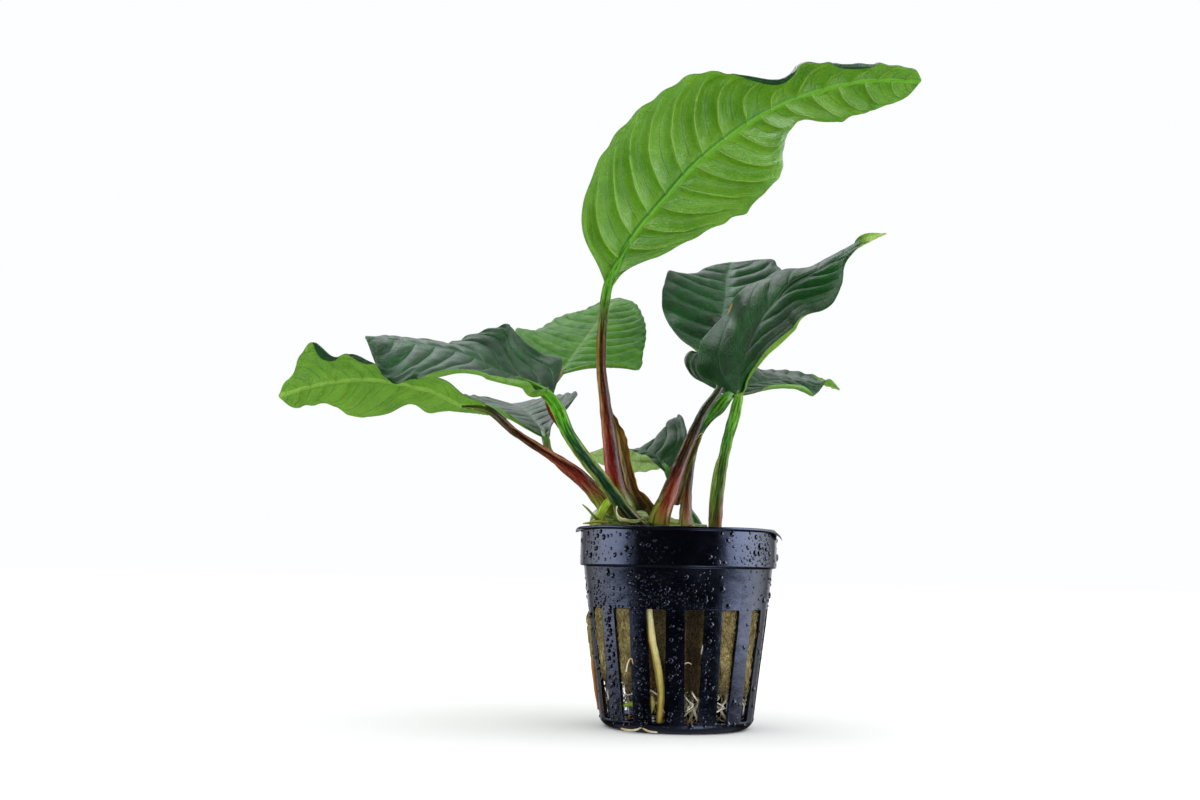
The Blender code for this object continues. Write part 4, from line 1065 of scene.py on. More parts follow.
GOLD = (190, 152, 62)
SHEETS = {
    "withered_sheath": dict(
        lines=[[(-18.2, -3.2, 82.2), (-17.5, -2.6, 77.7), (-16.9, -2.1, 73.8), (-15.9, -1.5, 68.6),
                (-15.1, -0.9, 64.7), (-14.2, -0.4, 60.8), (-13.4, 0.2, 57), (-13, -0.3, 54.2),
                (-12.6, -0.8, 51.4)],
               [(-18.1, -2.6, 81.8), (-16.7, -1.2, 77.8), (-15.4, -0.4, 73.8), (-14.3, 0.2, 68.6),
                (-13.2, 0.8, 64.3), (-12.3, 1.2, 60.8), (-10.4, 1.6, 56.6), (-9.8, 0.4, 54),
                (-9.4, -0.6, 51.4)],
               [(-18.1, -3.2, 82), (-16, -2.7, 78), (-14, -2.1, 73.9), (-12.8, -1.6, 68.7), (-11.6, -1, 64),
                (-10.8, -0.5, 61.4), (-8.7, -0.2, 59.3), (-6.7, -0.2, 57), (-5.6, -0.8, 54.4),
                (-5.4, -1, 51.4)]],
        colours=[(0, [(0, (150, 120, 60)), (0.32, (190, 160, 100)), (0.65, (186, 166, 100)),
                      (0.8, (70, 66, 24)), (1, (50, 70, 30))]),
                 (0.25, [(0, GOLD), (0.24, (186, 160, 100)), (0.56, (200, 180, 136)), (0.7, (190, 160, 100)),
                         (0.82, (60, 70, 24)), (1, (40, 66, 28))]),
                 (0.5, [(0, (140, 112, 44)), (0.4, (96, 70, 28)), (0.8, (56, 46, 16)), (1, (40, 56, 22))]),
                 (0.7, [(0, GOLD), (0.4, (182, 142, 56)), (0.65, (150, 104, 40)), (0.82, (90, 80, 28)),
                        (1, (56, 72, 28))]),
                 (0.92, [(0, (150, 120, 40)), (0.4, (150, 112, 42)), (0.7, (132, 90, 32)),
                         (0.85, (84, 74, 26)), (1, (50, 66, 26))]),
                 (1, [(0, (150, 126, 40)), (0.32, (186, 150, 60)), (0.62, (190, 138, 46)),
                      (0.76, (150, 110, 40)), (1, (80, 90, 36))])],
        node="dried_sheath", frill=0.5,
    ),
    "open_sheath_low_right": dict(
        lines=[[(5.9, 4, 76.6), (4.8, 3.4, 75.7), (3.2, 2.7, 72.4), (1.7, 2.1, 68.4), (0.7, 1.5, 65.1),
                (-0.3, 0.8, 61.1), (-1.3, 0.2, 57.1)],
               [(6, 4.6, 76.4), (5.1, 4.4, 75.2), (3.9, 3.8, 72.2), (2.5, 3.2, 68.4), (1.5, 2.6, 65.1),
                (0.5, 1.9, 61.1), (-0.6, 1, 57.1)],
               [(6.1, 3.4, 76.3), (5.6, 2.8, 74.6), (4.6, 2.1, 71.9), (3.3, 1.5, 68.4), (2.3, 0.9, 65.1),
                (1.3, 0.2, 61.1), (0, -0.4, 57.1)]],
        colours=[(0, [(0, (210, 210, 150)), (0.3, (150, 160, 90)), (0.6, (214, 200, 176)),
                      (1, (190, 150, 120))]),
                 (0.45, [(0, (60, 50, 20)), (0.5, (70, 60, 26)), (0.7, (214, 204, 176)),
                         (1, (150, 100, 70))]),
                 (0.7, [(0, (200, 206, 120)), (0.4, (160, 172, 64)), (0.8, (140, 130, 56)),
                        (1, (150, 80, 50))]),
                 (1, [(0, (214, 214, 140)), (0.4, (150, 166, 60)), (0.8, (120, 110, 44)),
                      (1, (150, 70, 44))])],
    ),
    "sheath_edge_front_right": dict(
        lines=[[(10.4, -1.6, 70.3), (9.5, -1, 68.3), (8.7, -0.5, 64.9), (8.2, 0, 61.2), (7.9, 0.5, 57.5),
                (7.8, 1, 53)],
               [(10.7, -2, 70.2), (10.5, -1.8, 68.3), (10.1, -1.2, 64.9), (9.7, -0.7, 61.2),
                (9.3, -0.2, 57.6), (8.9, 0.2, 53)]],
        colours=[(0, [(0, (170, 140, 80)), (0.15, (140, 180, 80)), (0.6, (130, 174, 66)),
                      (1, (120, 130, 50))]),
                 (0.8, [(0, (150, 180, 80)), (0.5, (124, 168, 60)), (1, (110, 120, 46))]),
                 (1, [(0, (60, 90, 30)), (1, (60, 70, 28))])],
    ),
    "sheath_edge_long_left": dict(
        lines=[[(-28, -12.6, 73.4), (-26.3, -10.4, 70.6), (-24.3, -9.5, 69), (-22.4, -9, 67),
                (-20.6, -8.5, 64.2), (-17.6, -8, 59.6), (-14.6, -7.6, 56)],
               [(-28.2, -12.9, 72.9), (-26.7, -11, 69.9), (-25, -10.3, 67.9), (-23.2, -9.8, 65.7),
                (-21.3, -9.3, 63.2), (-18.4, -8.8, 58.8), (-15.2, -8.4, 55)]],
        colours=[(0, [(0, (120, 150, 60)), (0.2, (176, 166, 80)), (0.5, (150, 140, 60)), (0.7, (80, 50, 26)),
                      (1, (110, 60, 34))]),
                 (1, [(0, (120, 160, 60)), (0.4, (140, 150, 60)), (0.7, (60, 80, 36)), (1, (80, 56, 30))])],
        frill=0.3,
    ),
    "torn_sheath_edge": dict(
        lines=[[(-16.1, -11.4, 56.1), (-15.8, -11.6, 54.7), (-15.1, -11.8, 53.5), (-14, -12, 52.9),
                (-12.6, -12, 52.8), (-10.6, -11.6, 52.9), (-8.6, -11, 53.3)],
               [(-16.0, -11.2, 55.6), (-16.0, -11.3, 54.0), (-15.5, -11.4, 52.8), (-14.2, -11.5, 52.1),
                (-12.6, -11.6, 52.0), (-10.6, -11.3, 52.3), (-8.5, -10.8, 52.8)]],
        colours=[(0, [(0, (246, 244, 214)), (0.3, (250, 250, 226)), (0.6, (214, 222, 150)),
                      (1, (150, 176, 110))]),
                 (1, [(0, (250, 246, 220)), (0.35, (220, 226, 150)), (1, (110, 146, 66))])],
        frill=0.9,
    ),
    "open_sheath_low_left": dict(
        lines=[[(-47.1, -4.6, 77.9), (-43.5, -4, 76.4), (-39.5, -3.4, 73.9), (-35.5, -2.8, 71.3),
                (-31.5, -2.2, 69.1), (-27.4, -1.6, 66.8)],
               [(-47, -4.9, 77.6), (-43.4, -4.8, 75.9), (-39.4, -4.2, 73.3), (-35.4, -3.5, 70.7),
                (-31.5, -2.9, 68.5), (-27.2, -2.1, 66.4)]],
        colours=[(0, [(0, (150, 110, 60)), (0.4, (200, 130, 60)), (0.8, (230, 160, 100)),
                      (1, (236, 176, 120))]),
                 (0.7, [(0, (150, 90, 40)), (0.4, (200, 120, 44)), (1, (190, 90, 50))]),
                 (1, [(0, (70, 40, 10)), (1, (80, 26, 10))])],
    ),
}
for sheet_name, data in SHEETS.items():
    sheet(sheet_name, **data)


# Pot

LIP_RADIUS = 27.0
LIP_THICKNESS = 0.7
COLLAR_RADIUS = 25.5
POT_HEIGHT = 51.0
STEP_HEIGHT = 41.0
BODY_HEIGHTS = (0.0, 26.0, 41.0)
BODY_RADII = (19.55, 22.95, 24.45)
FOOT_RADIUS = 18.0
WALL = 0.8
FLOOR = 1.2
SLOT_COUNT = 15
SLOT_FIRST_ANGLE = math.radians(88.7)
SLOT_BOTTOM = 2.5
SLOT_TOP = 30.5
SLOT_BOTTOM_WIDTH = 3.5
SLOT_TOP_WIDTH = 5.2
SLOT_ROUNDING = 0.5
DRAIN_COUNT = 10
DRAIN_WIDTH = 2.4
DRAIN_INNER = 6.0
DRAIN_OUTER = 16.5
POT_SIDES = 240
# Rounding of the pot's edges, and the angle from which an edge counts as sharp
EDGE_ROUNDING = 0.15
ROUNDED_FROM = math.radians(50)
SHARP_FROM = math.radians(38)
# The thin lip droops a little at the right and less at the left: angle from +X, reach of the bend, drop at
# the edge.
LIP_DROOPS = ((-0.08, 0.3, 2.3), (math.pi, 0.22, 0.9))


def body_radius(height):
    """Outer radius of the pot's body, which tapers a little more in its lower part."""
    return float(np.interp(height, BODY_HEIGHTS, BODY_RADII))


def slot_half_width(radius, height):
    """Half the width of a slot. Its sides are flat, splay outwards and come together towards the base."""
    share = (height - SLOT_BOTTOM) / (SLOT_TOP - SLOT_BOTTOM)
    half = (SLOT_BOTTOM_WIDTH + (SLOT_TOP_WIDTH - SLOT_BOTTOM_WIDTH) * share) / 2
    wall = body_radius(SLOT_BOTTOM) + (body_radius(SLOT_TOP) - body_radius(SLOT_BOTTOM)) * share
    return half + (radius - wall) * math.tan(math.pi / SLOT_COUNT / 2)


def rounded_profile(corners, steps=4):
    """Replaces each corner of (radius, height, rounding) with a small arc."""
    made = []
    for index, (x, y, rounding) in enumerate(corners):
        here = np.array([x, y])
        if rounding == 0:
            made.append(tuple(here))
            continue
        before = unit(np.array(corners[index - 1][:2]) - here)
        after = unit(np.array(corners[index + 1][:2]) - here)
        for step in range(steps + 1):
            t = step / steps
            made.append(tuple(here + before * rounding * (1 - t) ** 2 + after * rounding * t**2))
    return made


def turned_mesh(profile, sides):
    """Points and faces of a solid of revolution. The profile starts and ends on the axis."""
    turn = np.linspace(0, 2 * np.pi, sides, endpoint=False)
    points = [(r * math.cos(a), r * math.sin(a), z) for r, z in profile[1:-1] for a in turn]
    points += [(0, 0, profile[0][1]), (0, 0, profile[-1][1])]
    return np.array(points), capped_faces(len(profile) - 2, sides)


def pot():
    """The moulded pot, turned from its profile, with its slots cut out and its edges rounded."""
    inner_foot = body_radius(FLOOR) - WALL - 0.1
    corners = [
        (0.0, FLOOR, 0), (inner_foot, FLOOR, 0.4), (body_radius(BODY_HEIGHTS[1]) - WALL, BODY_HEIGHTS[1], 0),
        (body_radius(STEP_HEIGHT) - WALL, STEP_HEIGHT - 0.8, 0.2), (COLLAR_RADIUS - WALL, STEP_HEIGHT, 0.25),
        (COLLAR_RADIUS - WALL + 0.1, POT_HEIGHT, 0.25), (LIP_RADIUS, POT_HEIGHT - 0.05, 0.22),
        (LIP_RADIUS, POT_HEIGHT - LIP_THICKNESS, 0.2),
        (COLLAR_RADIUS + 0.1, POT_HEIGHT - LIP_THICKNESS - 0.1, 0.3),
        (COLLAR_RADIUS, STEP_HEIGHT, 0.4), (body_radius(STEP_HEIGHT), STEP_HEIGHT - 0.15, 0.2),
        (body_radius(BODY_HEIGHTS[1]), BODY_HEIGHTS[1], 0), (body_radius(1.4), 1.4, 0.8),
        (FOOT_RADIUS + 0.3, 0.1, 0.5), (FOOT_RADIUS - 1.5, 0.0, 0), (0.0, 0.0, 0),
    ]
    points, faces = turned_mesh(rounded_profile(corners), POT_SIDES)
    piece = mesh_piece("net_pot", points, faces, PLASTIC)
    cutter = slot_cutters()
    boolean = piece.modifiers.new("Slots", "BOOLEAN")
    boolean.operation = "DIFFERENCE"
    boolean.solver = "EXACT"
    boolean.object = cutter
    bevel = piece.modifiers.new("Soft edges", "BEVEL")
    bevel.width = EDGE_ROUNDING * MM
    bevel.segments = 2
    bevel.limit_method = "ANGLE"
    bevel.angle_limit = ROUNDED_FROM
    evaluated = piece.evaluated_get(bpy.context.evaluated_depsgraph_get())
    mesh = bpy.data.meshes.new_from_object(evaluated)
    piece.modifiers.clear()
    piece.data = mesh
    mesh.shade_smooth()
    mesh.set_sharp_from_angle(angle=SHARP_FROM)
    bpy.data.objects.remove(cutter)
    soften_pot(mesh)
    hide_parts("pot")


def soften_pot(mesh):
    """Lets the lip droop and the thin ribs bow a little, as on a used moulding."""
    for vertex in mesh.vertices:
        x, y, z = vertex.co / MM
        radius, angle = math.hypot(x, y), math.atan2(y, x)
        if radius > COLLAR_RADIUS + 0.2:
            reach = (radius - COLLAR_RADIUS) / (LIP_RADIUS - COLLAR_RADIUS)
            for centre, width, drop in LIP_DROOPS:
                off = math.remainder(angle - centre, 2 * math.pi) / width
                z -= drop * reach**1.4 * math.exp(-(off**2))
        ripple = noise.noise(Vector((math.cos(angle) * 1.6, math.sin(angle) * 1.6, z * 0.06)))
        scale = 1 + 0.3 * ripple * smooth_step(3.0, 12.0, z) / max(radius, 1) if radius > 15 else 1
        if z > POT_HEIGHT - 1.5:
            z += 0.25 * noise.noise(Vector((math.cos(angle) * 2, math.sin(angle) * 2, 5.0)))
        vertex.co = (x * scale * MM, y * scale * MM, z * MM)


def turned(out, across, turn):
    """The x and y of a place so far out from the axis and so far across, in a direction turned from +X."""
    return out * math.cos(turn) - across * math.sin(turn), out * math.sin(turn) + across * math.cos(turn)


def slot_cutters():
    """Upright slots through the wall and radial ones through the floor, with rounded corners, as one mesh."""
    points, faces = [], []

    def prism(outline, place):
        base, count = len(points), len(outline)
        for depth in (0, 1):
            points.extend(place(inset, sign, height, depth) for inset, sign, height in outline)
        faces.append(tuple(range(base + count - 1, base - 1, -1)))
        faces.append(tuple(range(base + count, base + 2 * count)))
        for index in range(count):
            after = (index + 1) % count
            faces.append((base + index, base + after, base + count + after, base + count + index))

    def outline(low, high, radius):
        """Corner points as inset from the side, which side, and height."""
        turns = np.linspace(0, math.pi / 2, 5)
        arc = [(radius * (1 - math.cos(turn)), radius * (1 - math.sin(turn))) for turn in turns]
        made = [(inset, 1, low + rise) for inset, rise in arc[::-1]]
        made += [(inset, 1, high - rise) for inset, rise in arc]
        return made + [(inset, -1, height) for inset, _, height in made[::-1]]

    for index in range(SLOT_COUNT):
        turn = SLOT_FIRST_ANGLE + index * 2 * math.pi / SLOT_COUNT

        def in_wall(inset, sign, height, depth, turn=turn):
            radius = BODY_RADII[2] + 1.5 if depth else BODY_RADII[0] - 2.5
            across = sign * (slot_half_width(radius, height) - inset)
            return (*turned(radius, across, turn), height)

        prism(outline(SLOT_BOTTOM, SLOT_TOP, SLOT_ROUNDING), in_wall)
    for index in range(DRAIN_COUNT):
        turn = index * 2 * math.pi / DRAIN_COUNT

        def in_floor(inset, sign, height, depth, turn=turn):
            across = sign * (DRAIN_WIDTH / 2 - inset)
            return (*turned(height, across, turn), -1 + depth * (FLOOR + 2))

        prism(outline(DRAIN_INNER, DRAIN_OUTER, 0.8), in_floor)
    mesh = bpy.data.meshes.new("slot_cutters")
    mesh.from_pydata((np.array(points) * MM).tolist(), [], faces)
    made = bpy.data.objects.new("slot_cutters", mesh)
    bpy.context.scene.collection.objects.link(made)
    shape = bmesh.new()
    shape.from_mesh(mesh)
    bmesh.ops.recalc_face_normals(shape, faces=shape.faces)
    shape.to_mesh(mesh)
    shape.free()
    return made


pot()


def slot_share(angle, height):
    """How far this place on the wall is from its nearest slot's middle. Under 1 it is in the slot."""
    if not SLOT_BOTTOM < height < SLOT_TOP:
        return 9.0
    step = 2 * math.pi / SLOT_COUNT
    off = (angle - SLOT_FIRST_ANGLE) % step
    radius = body_radius(height)
    return min(off, step - off) * radius / slot_half_width(radius, height)


def wall_radius(height, size):
    """Radius of the outer wall where a bead of this size can sit, or None."""
    if POT_HEIGHT - LIP_THICKNESS - size < height or abs(height - STEP_HEIGHT) < size + 0.3:
        return None
    return COLLAR_RADIUS if height > STEP_HEIGHT else body_radius(height)


# Water

# Beads: how many, smallest and largest radius, and the sides and rings of their meshes
BEADS = {"water_beads": (1400, 0.26, 0.88, 10, 3), "fine_water_beads": (4800, 0.1, 0.22, 6, 2)}
# A drop that runs down the wall: angle from the front, height, radius, how far it is drawn out downwards
RUNNING_DROP = (17.2, 33.8, 0.34, 6.0)
# Places that are tried for each kind of bead, the room for the beads' places, and the least gap between two
BEAD_ATTEMPTS = 40000
BEAD_ROOM = 8000
BEAD_GAP = 0.06
# How far a bead's rim lies inside the wall
BEAD_SUNK = 0.05
# Beads over this radius are dark with dim painted glints, and under it they are pale with brighter ones
FINE_BEAD = 0.3


def bead_mesh(angle, height, radius, size, stretch, sides, rings, rng):
    """A rounded bead on the wall, a little uneven in outline, that sags downwards."""
    out = np.array([math.cos(angle), math.sin(angle), 0])
    tangent = np.array([-math.sin(angle), math.cos(angle), 0])
    up = np.array([0, 0, 1.0])
    wave, shift = rng.uniform(0, 0.16), rng.uniform(0, 6.3)
    bulge = rng.uniform(0.5, 0.75) * size
    base = out * (radius - BEAD_SUNK) + up * height
    turn = np.linspace(0, 2 * np.pi, sides, endpoint=False)
    rows = []
    for ring in range(rings):
        lift = ring / rings * math.pi / 2
        reach = size * math.cos(lift) * (1 + wave * np.sin(2 * turn + shift))
        sag = np.where(np.sin(turn) < 0, stretch, 1.0)
        sideways = tangent * (np.cos(turn) * reach)[:, None]
        upwards = up * (np.sin(turn) * reach * sag)[:, None]
        rows.append(base + sideways + upwards + out * (BEAD_SUNK + bulge * math.sin(lift)))
    made = np.vstack([*rows, base[None], (base + out * (BEAD_SUNK + bulge))[None]])
    faces = grid_faces(rings, sides, closed=True)
    last = (rings - 1) * sides
    for side in range(sides):
        after = (side + 1) % sides
        faces.append((last + side, last + after, rings * sides + 1))
        faces.append((after, side, rings * sides))
    return made, faces


def dryness(angle, height, size):
    """The chance that a bead is missing. The body's right and the foot are drier, the front has fine ones."""
    front = math.remainder(math.degrees(angle) + 90, 360)
    right_body = float(smooth_step(12, 24, front) * smooth_step(41, 40, height))
    foot = float(smooth_step(14, 5, height))
    middle = float(smooth_step(24, 14, abs(front))) if size > FINE_BEAD else 0.0
    outside = float(smooth_step(56, 68, abs(front)) * smooth_step(120, 100, abs(front)))
    fine_rib = 0.88 * float(smooth_step(32, 30, height)) if size < FINE_BEAD else 0.0
    return max(0.93 * right_body, 0.7 * foot, 0.85 * middle, 0.96 * outside, fine_rib)


def droplets():
    """Beads of water on the pot's outer wall."""
    rng = np.random.default_rng(11)
    places = np.zeros((BEAD_ROOM, 2))
    sizes = np.zeros(BEAD_ROOM)
    taken = 0
    for name, (count, smallest, largest, sides, rings) in BEADS.items():
        points, faces, total = [], [], 0
        for attempt in range(BEAD_ATTEMPTS):
            if len(points) >= count:
                break
            angle = rng.uniform(0, 2 * math.pi)
            height = rng.uniform(1.5, 50)
            size = smallest + (largest - smallest) * rng.random() ** 2.2
            stretch = 1 + 0.6 * rng.random() * size
            if attempt == 0 and name == "water_beads":
                front, height, size, stretch = RUNNING_DROP
                angle = math.radians(front - 90)
            radius = wall_radius(height, size)
            if radius is None or slot_share(angle, height) < 1 + 0.9 * size:
                continue
            if attempt and rng.random() < dryness(angle, height, size):
                continue
            place = np.array([radius * angle, height])
            if (np.hypot(*(places[:taken] - place).T) < sizes[:taken] + size + BEAD_GAP).any():
                continue
            places[taken], sizes[taken] = place, size
            taken += 1
            made, made_faces = bead_mesh(angle, height, radius, size, stretch, sides, rings, rng)
            points.append(made)
            faces += [tuple(index + total for index in face) for face in made_faces]
            total += len(made)
        material = WATER if largest > FINE_BEAD else FINE_WATER
        mesh_piece(name, np.vstack(points), faces, material)


droplets()

# Rockwool, its fibres and the roots

PLUG_TOP = 47.2
PLUG_CLEARANCE = 0.5
# Height of the plug's ragged underside at angles from the front, in degrees, positive to the right
PLUG_UNDERSIDE = ((-180, 12.0), (-85, 13.0), (-61, 13.8), (-37, 11.8), (-13, 10.8), (11, 9.6), (35, 10.2),
                  (59, 10.2), (90, 11.5), (180, 12.0))
# Slots where the wool stands out of the wall or back from it: angle from the front, how far, lowest and
# highest height
PLUG_BULGES = ((-85.3, 1.8, 18, 27), (-61.3, 1.1, 0, 40), (-13.3, -0.7, 0, 40), (10.7, -1.1, 0, 40))
# Painted shade: angle from the front, height, half width in degrees, half height, strength
SHADED_PLACES = ((-13.3, 20, 9, 60, 0.85), (10.7, 20, 9, 60, 0.97), (-31.5, 14, 4, 5, 0.8), (29, 12, 4, 4, 0.7),
              (66, 25, 5, 12, 0.3))
# How far the ragged underside wanders up and down
RAGGED = 1.5
# The wool's mesh: points round it, and rings down its side and over each end
WOOL_SIDES = 250
WOOL_RINGS = 88
WOOL_END_RINGS = 12
# Unevenness of the wool: lumps a millimetre, and height
WOOL_LUMPS = ((0.35, 0.5), (1.1, 0.25), (2.6, 0.22))
# How far the rounded edge of the wool's top lies in and down
WOOL_EDGE = 0.6


def front_angle(x, y):
    """Angle from the front in degrees, positive to the right."""
    return math.degrees(math.atan2(x, -y))


def plug_bottom(x, y):
    """Height of the plug's underside, without its ragged edge, in the direction of x and y."""
    return float(np.interp(front_angle(x, y), *zip(*PLUG_UNDERSIDE)))


def plug_radius(height):
    """Radius of the plug, which follows the inside of the pot."""
    return body_radius(min(height, STEP_HEIGHT)) - WALL - PLUG_CLEARANCE


def ragged_bottom(x, y):
    """The underside with its ragged edge. x and y lie on a circle of radius 1."""
    coarse = noise.noise(Vector((x * 5, y * 5, 4)))
    fine = noise.noise(Vector((x * 17, y * 17, 9)))
    return plug_bottom(x, y) + RAGGED * (coarse + 0.6 * fine)


def wool_darkening(point):
    """How dark the wool is: painted shade in the front slots and elsewhere, and a browner ragged lower edge.
    """
    x, y, z = point
    angle = front_angle(x, y)
    made = 0.5 * float(smooth_step(2.2, 0.2, z - plug_bottom(x, y)))
    for centre, height, wide, tall, strength in SHADED_PLACES:
        made = max(made, strength * math.exp(-(((angle - centre) / wide) ** 4) - ((z - height) / tall) ** 4))
    return made


def bulge_at(angle, height):
    """How far the wool stands out at this angle from +X and height."""
    share = slot_share(angle, height)
    if share > 1.3:
        return 0.0
    front = math.degrees(angle) + 90
    out = 0.55
    for centre, far, low, high in PLUG_BULGES:
        if abs(math.remainder(front - centre, 360)) < 8:
            out = far * float(smooth_step(low - 4, low, height) * smooth_step(high + 4, high, height))
    return out * float(smooth_step(1.15, 0.7, share))


def rockwool():
    """The plug of felted wool. Its side bulges in the slots and its underside is ragged."""
    turn = np.linspace(0, 2 * np.pi, WOOL_SIDES, endpoint=False)
    low_ring = [(math.cos(a), math.sin(a), ragged_bottom(math.cos(a), math.sin(a))) for a in turn]
    reaches = np.linspace(0.5, plug_radius(STEP_HEIGHT) - WOOL_EDGE, WOOL_END_RINGS)
    rows = [[(r * x, r * y, PLUG_TOP) for x, y, _ in low_ring] for r in reaches]
    for share in np.linspace(0, 1, WOOL_RINGS):
        row = []
        for x, y, bottom in low_ring:
            z = PLUG_TOP - WOOL_EDGE + (bottom + 0.5 - PLUG_TOP + WOOL_EDGE) * share
            r = plug_radius(z)
            row.append((r * x, r * y, z))
        rows.append(row)
    for share in np.linspace(0.96, 0.03, WOOL_END_RINGS):
        radii = [plug_radius(bottom) * share for _, _, bottom in low_ring]
        rows.append([(r * x, r * y, bottom) for r, (x, y, bottom) in zip(radii, low_ring)])
    grid = np.array(rows)
    (broad, broad_height), (middling, middling_height), (fine, fine_height) = WOOL_LUMPS
    rough = field(grid, broad, 1) * broad_height + field(grid, middling, 2) * middling_height
    rough = rough + field(grid * np.array([1, 1, 0.4]), fine, 3) * fine_height
    for row in range(grid.shape[0]):
        for column in range(WOOL_SIDES):
            x, y, z = grid[row, column]
            lump = rough[row, column]
            if WOOL_END_RINGS <= row < WOOL_END_RINGS + WOOL_RINGS:
                radius = math.hypot(x, y)
                out = bulge_at(turn[column], z)
                push = min(lump, 0.3) if out == 0 else lump * 0.8 + out
                grid[row, column, :2] *= (radius + push) / radius
            else:
                grid[row, column, 2] += lump * (1.2 if row < WOOL_END_RINGS else 2.4)
    flat = grid.reshape(-1, 3)
    flat = np.vstack([flat, flat[:WOOL_SIDES].mean(axis=0), flat[-WOOL_SIDES:].mean(axis=0)])
    faces = capped_faces(len(rows), WOOL_SIDES)
    attributes = {"wet": [wool_darkening(point) for point in flat]}
    piece = mesh_piece("wool_plug", flat, faces, WOOL, attributes)
    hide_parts("rockwool_plug")


def thread(rng, start, heading, length, radius, wander, steps=7):
    """A wavy route for a fine root or fibre."""
    points = []
    place = np.array(start, dtype=float)
    heading = unit(np.array(heading, dtype=float))
    for step in range(steps):
        points.append((*place, radius * (1 - 0.55 * step / steps)))
        heading = unit(heading + rng.normal(0, wander, 3))
        place = place + heading * length / steps
    return points


def many_tubes(name, routes, material, rings, sides, tints=None):
    """Many fine tubes joined into one piece. tints has the first and last colour of each."""
    points, faces, total, runs, colours = [], [], 0, [], []
    for index, route in enumerate(routes):
        rows, run, _, _ = tube_points(route, rings, sides)
        made, made_faces = tube_mesh(rows)
        points.append(made)
        faces += [tuple(corner + total for corner in face) for face in made_faces]
        total += len(made)
        runs.append(np.append(np.repeat(run, sides), [0, run[-1]]))
        if tints:
            start, end = (np.array(linear(*tint)) for tint in tints[index])
            share = (runs[-1] / run[-1])[:, None]
            colours.append(start * (1 - share) + end * share)
    flat = np.vstack(points)
    if tints:
        around = np.arange(total) % sides * (2 * np.pi / sides)
        around = np.minimum(around, 2 * np.pi - around)
        attributes = {"tint": np.vstack(colours), "run": np.concatenate(runs), "around": around}
    else:
        attributes = {"wet": [wool_darkening(point) * 0.9 for point in flat]}
    return mesh_piece(name, flat, faces, material, attributes)


FIBRE_COUNT = 2600


def loose_fibres():
    """Short strands on the wool that shows through the slots, with a fringe along its lower edge."""
    rng = np.random.default_rng(5)
    routes = []
    for index in range(FIBRE_COUNT):
        slot = SLOT_FIRST_ANGLE + (index % SLOT_COUNT) * 2 * math.pi / SLOT_COUNT
        angle = slot + rng.normal(0, 0.05)
        lowest = plug_bottom(math.cos(angle), math.sin(angle))
        fringe = index % 7 == 0
        height = rng.uniform(lowest, lowest + 1) if fringe else rng.uniform(lowest, 33)
        tilt = rng.normal(-1.4, 0.5) if fringe else rng.normal(0.9, 0.9)
        heading = (-math.sin(angle) * math.cos(tilt), math.cos(angle) * math.cos(tilt), math.sin(tilt))
        start = (math.cos(angle) * 20, math.sin(angle) * 20, height)
        kept = []
        depth = rng.uniform(-0.15, 0.45)
        for x, y, z, size in thread(rng, start, heading, rng.uniform(2, 6), rng.uniform(0.06, 0.12), 0.4):
            here = math.hypot(x, y)
            around = math.atan2(y, x)
            wanted = plug_radius(z) + bulge_at(around, z) * 0.9 + depth
            if slot_share(around, z) > 0.95:
                wanted = min(wanted, plug_radius(z) + 0.35)
            kept.append((x * wanted / here, y * wanted / here, z, size))
        routes.append(kept)
    many_tubes("loose_wool_fibres", routes, FIBRE, 6, 3)


FRONT_ROOT = [(-7.5, -20.2, 34.5, 0.9), (-6.8, -20.4, 27.5, 0.98), (-6.1, -20.4, 22.5, 0.98),
              (-5.1, -20.2, 18, 1.0), (-4.3, -19.7, 14, 1.0), (-3.8, -19, 10, 0.98), (-3.9, -18, 6, 0.95),
              (-4.2, -17.2, 2.4, 0.9)]
# Paler at the left and darker at the right: painted light and painted shade across the root
FRONT_ROOT_STOPS = [(2, (186, 166, 70), (196, 176, 80), (120, 104, 40)),
                    (14, (210, 196, 106), (196, 180, 92), (116, 100, 42)),
                    (22, (236, 232, 168), (218, 206, 130), (146, 122, 64)),
                    (34, (244, 244, 196), (228, 228, 170), (160, 152, 96))]
stalk("cream_front_root", FRONT_ROOT, FRONT_ROOT_STOPS, "front_root", rings=60, sides=20, slot="root",
      material=ROOT)
LEFT_ROOT = [(-21.8, -1.9, 22, 0.6), (-21.6, -1.8, 15, 0.6), (-20.6, -1.7, 8, 0.5), (-19.9, -1.6, 4, 0.4)]
stalk("brown_left_root", LEFT_ROOT, [(4, (150, 96, 40)), (14, (186, 126, 56)), (22, (196, 150, 84))],
      "left_root", rings=40, sides=14, slot="root", material=ROOT)

WHITE_ROOT = (250, 246, 226)
TAN_ROOT = (206, 180, 116)
PALE_TAN = (214, 196, 150)
BROWN_ROOT = (170, 108, 44)
GREEN_TIP = (140, 160, 50)
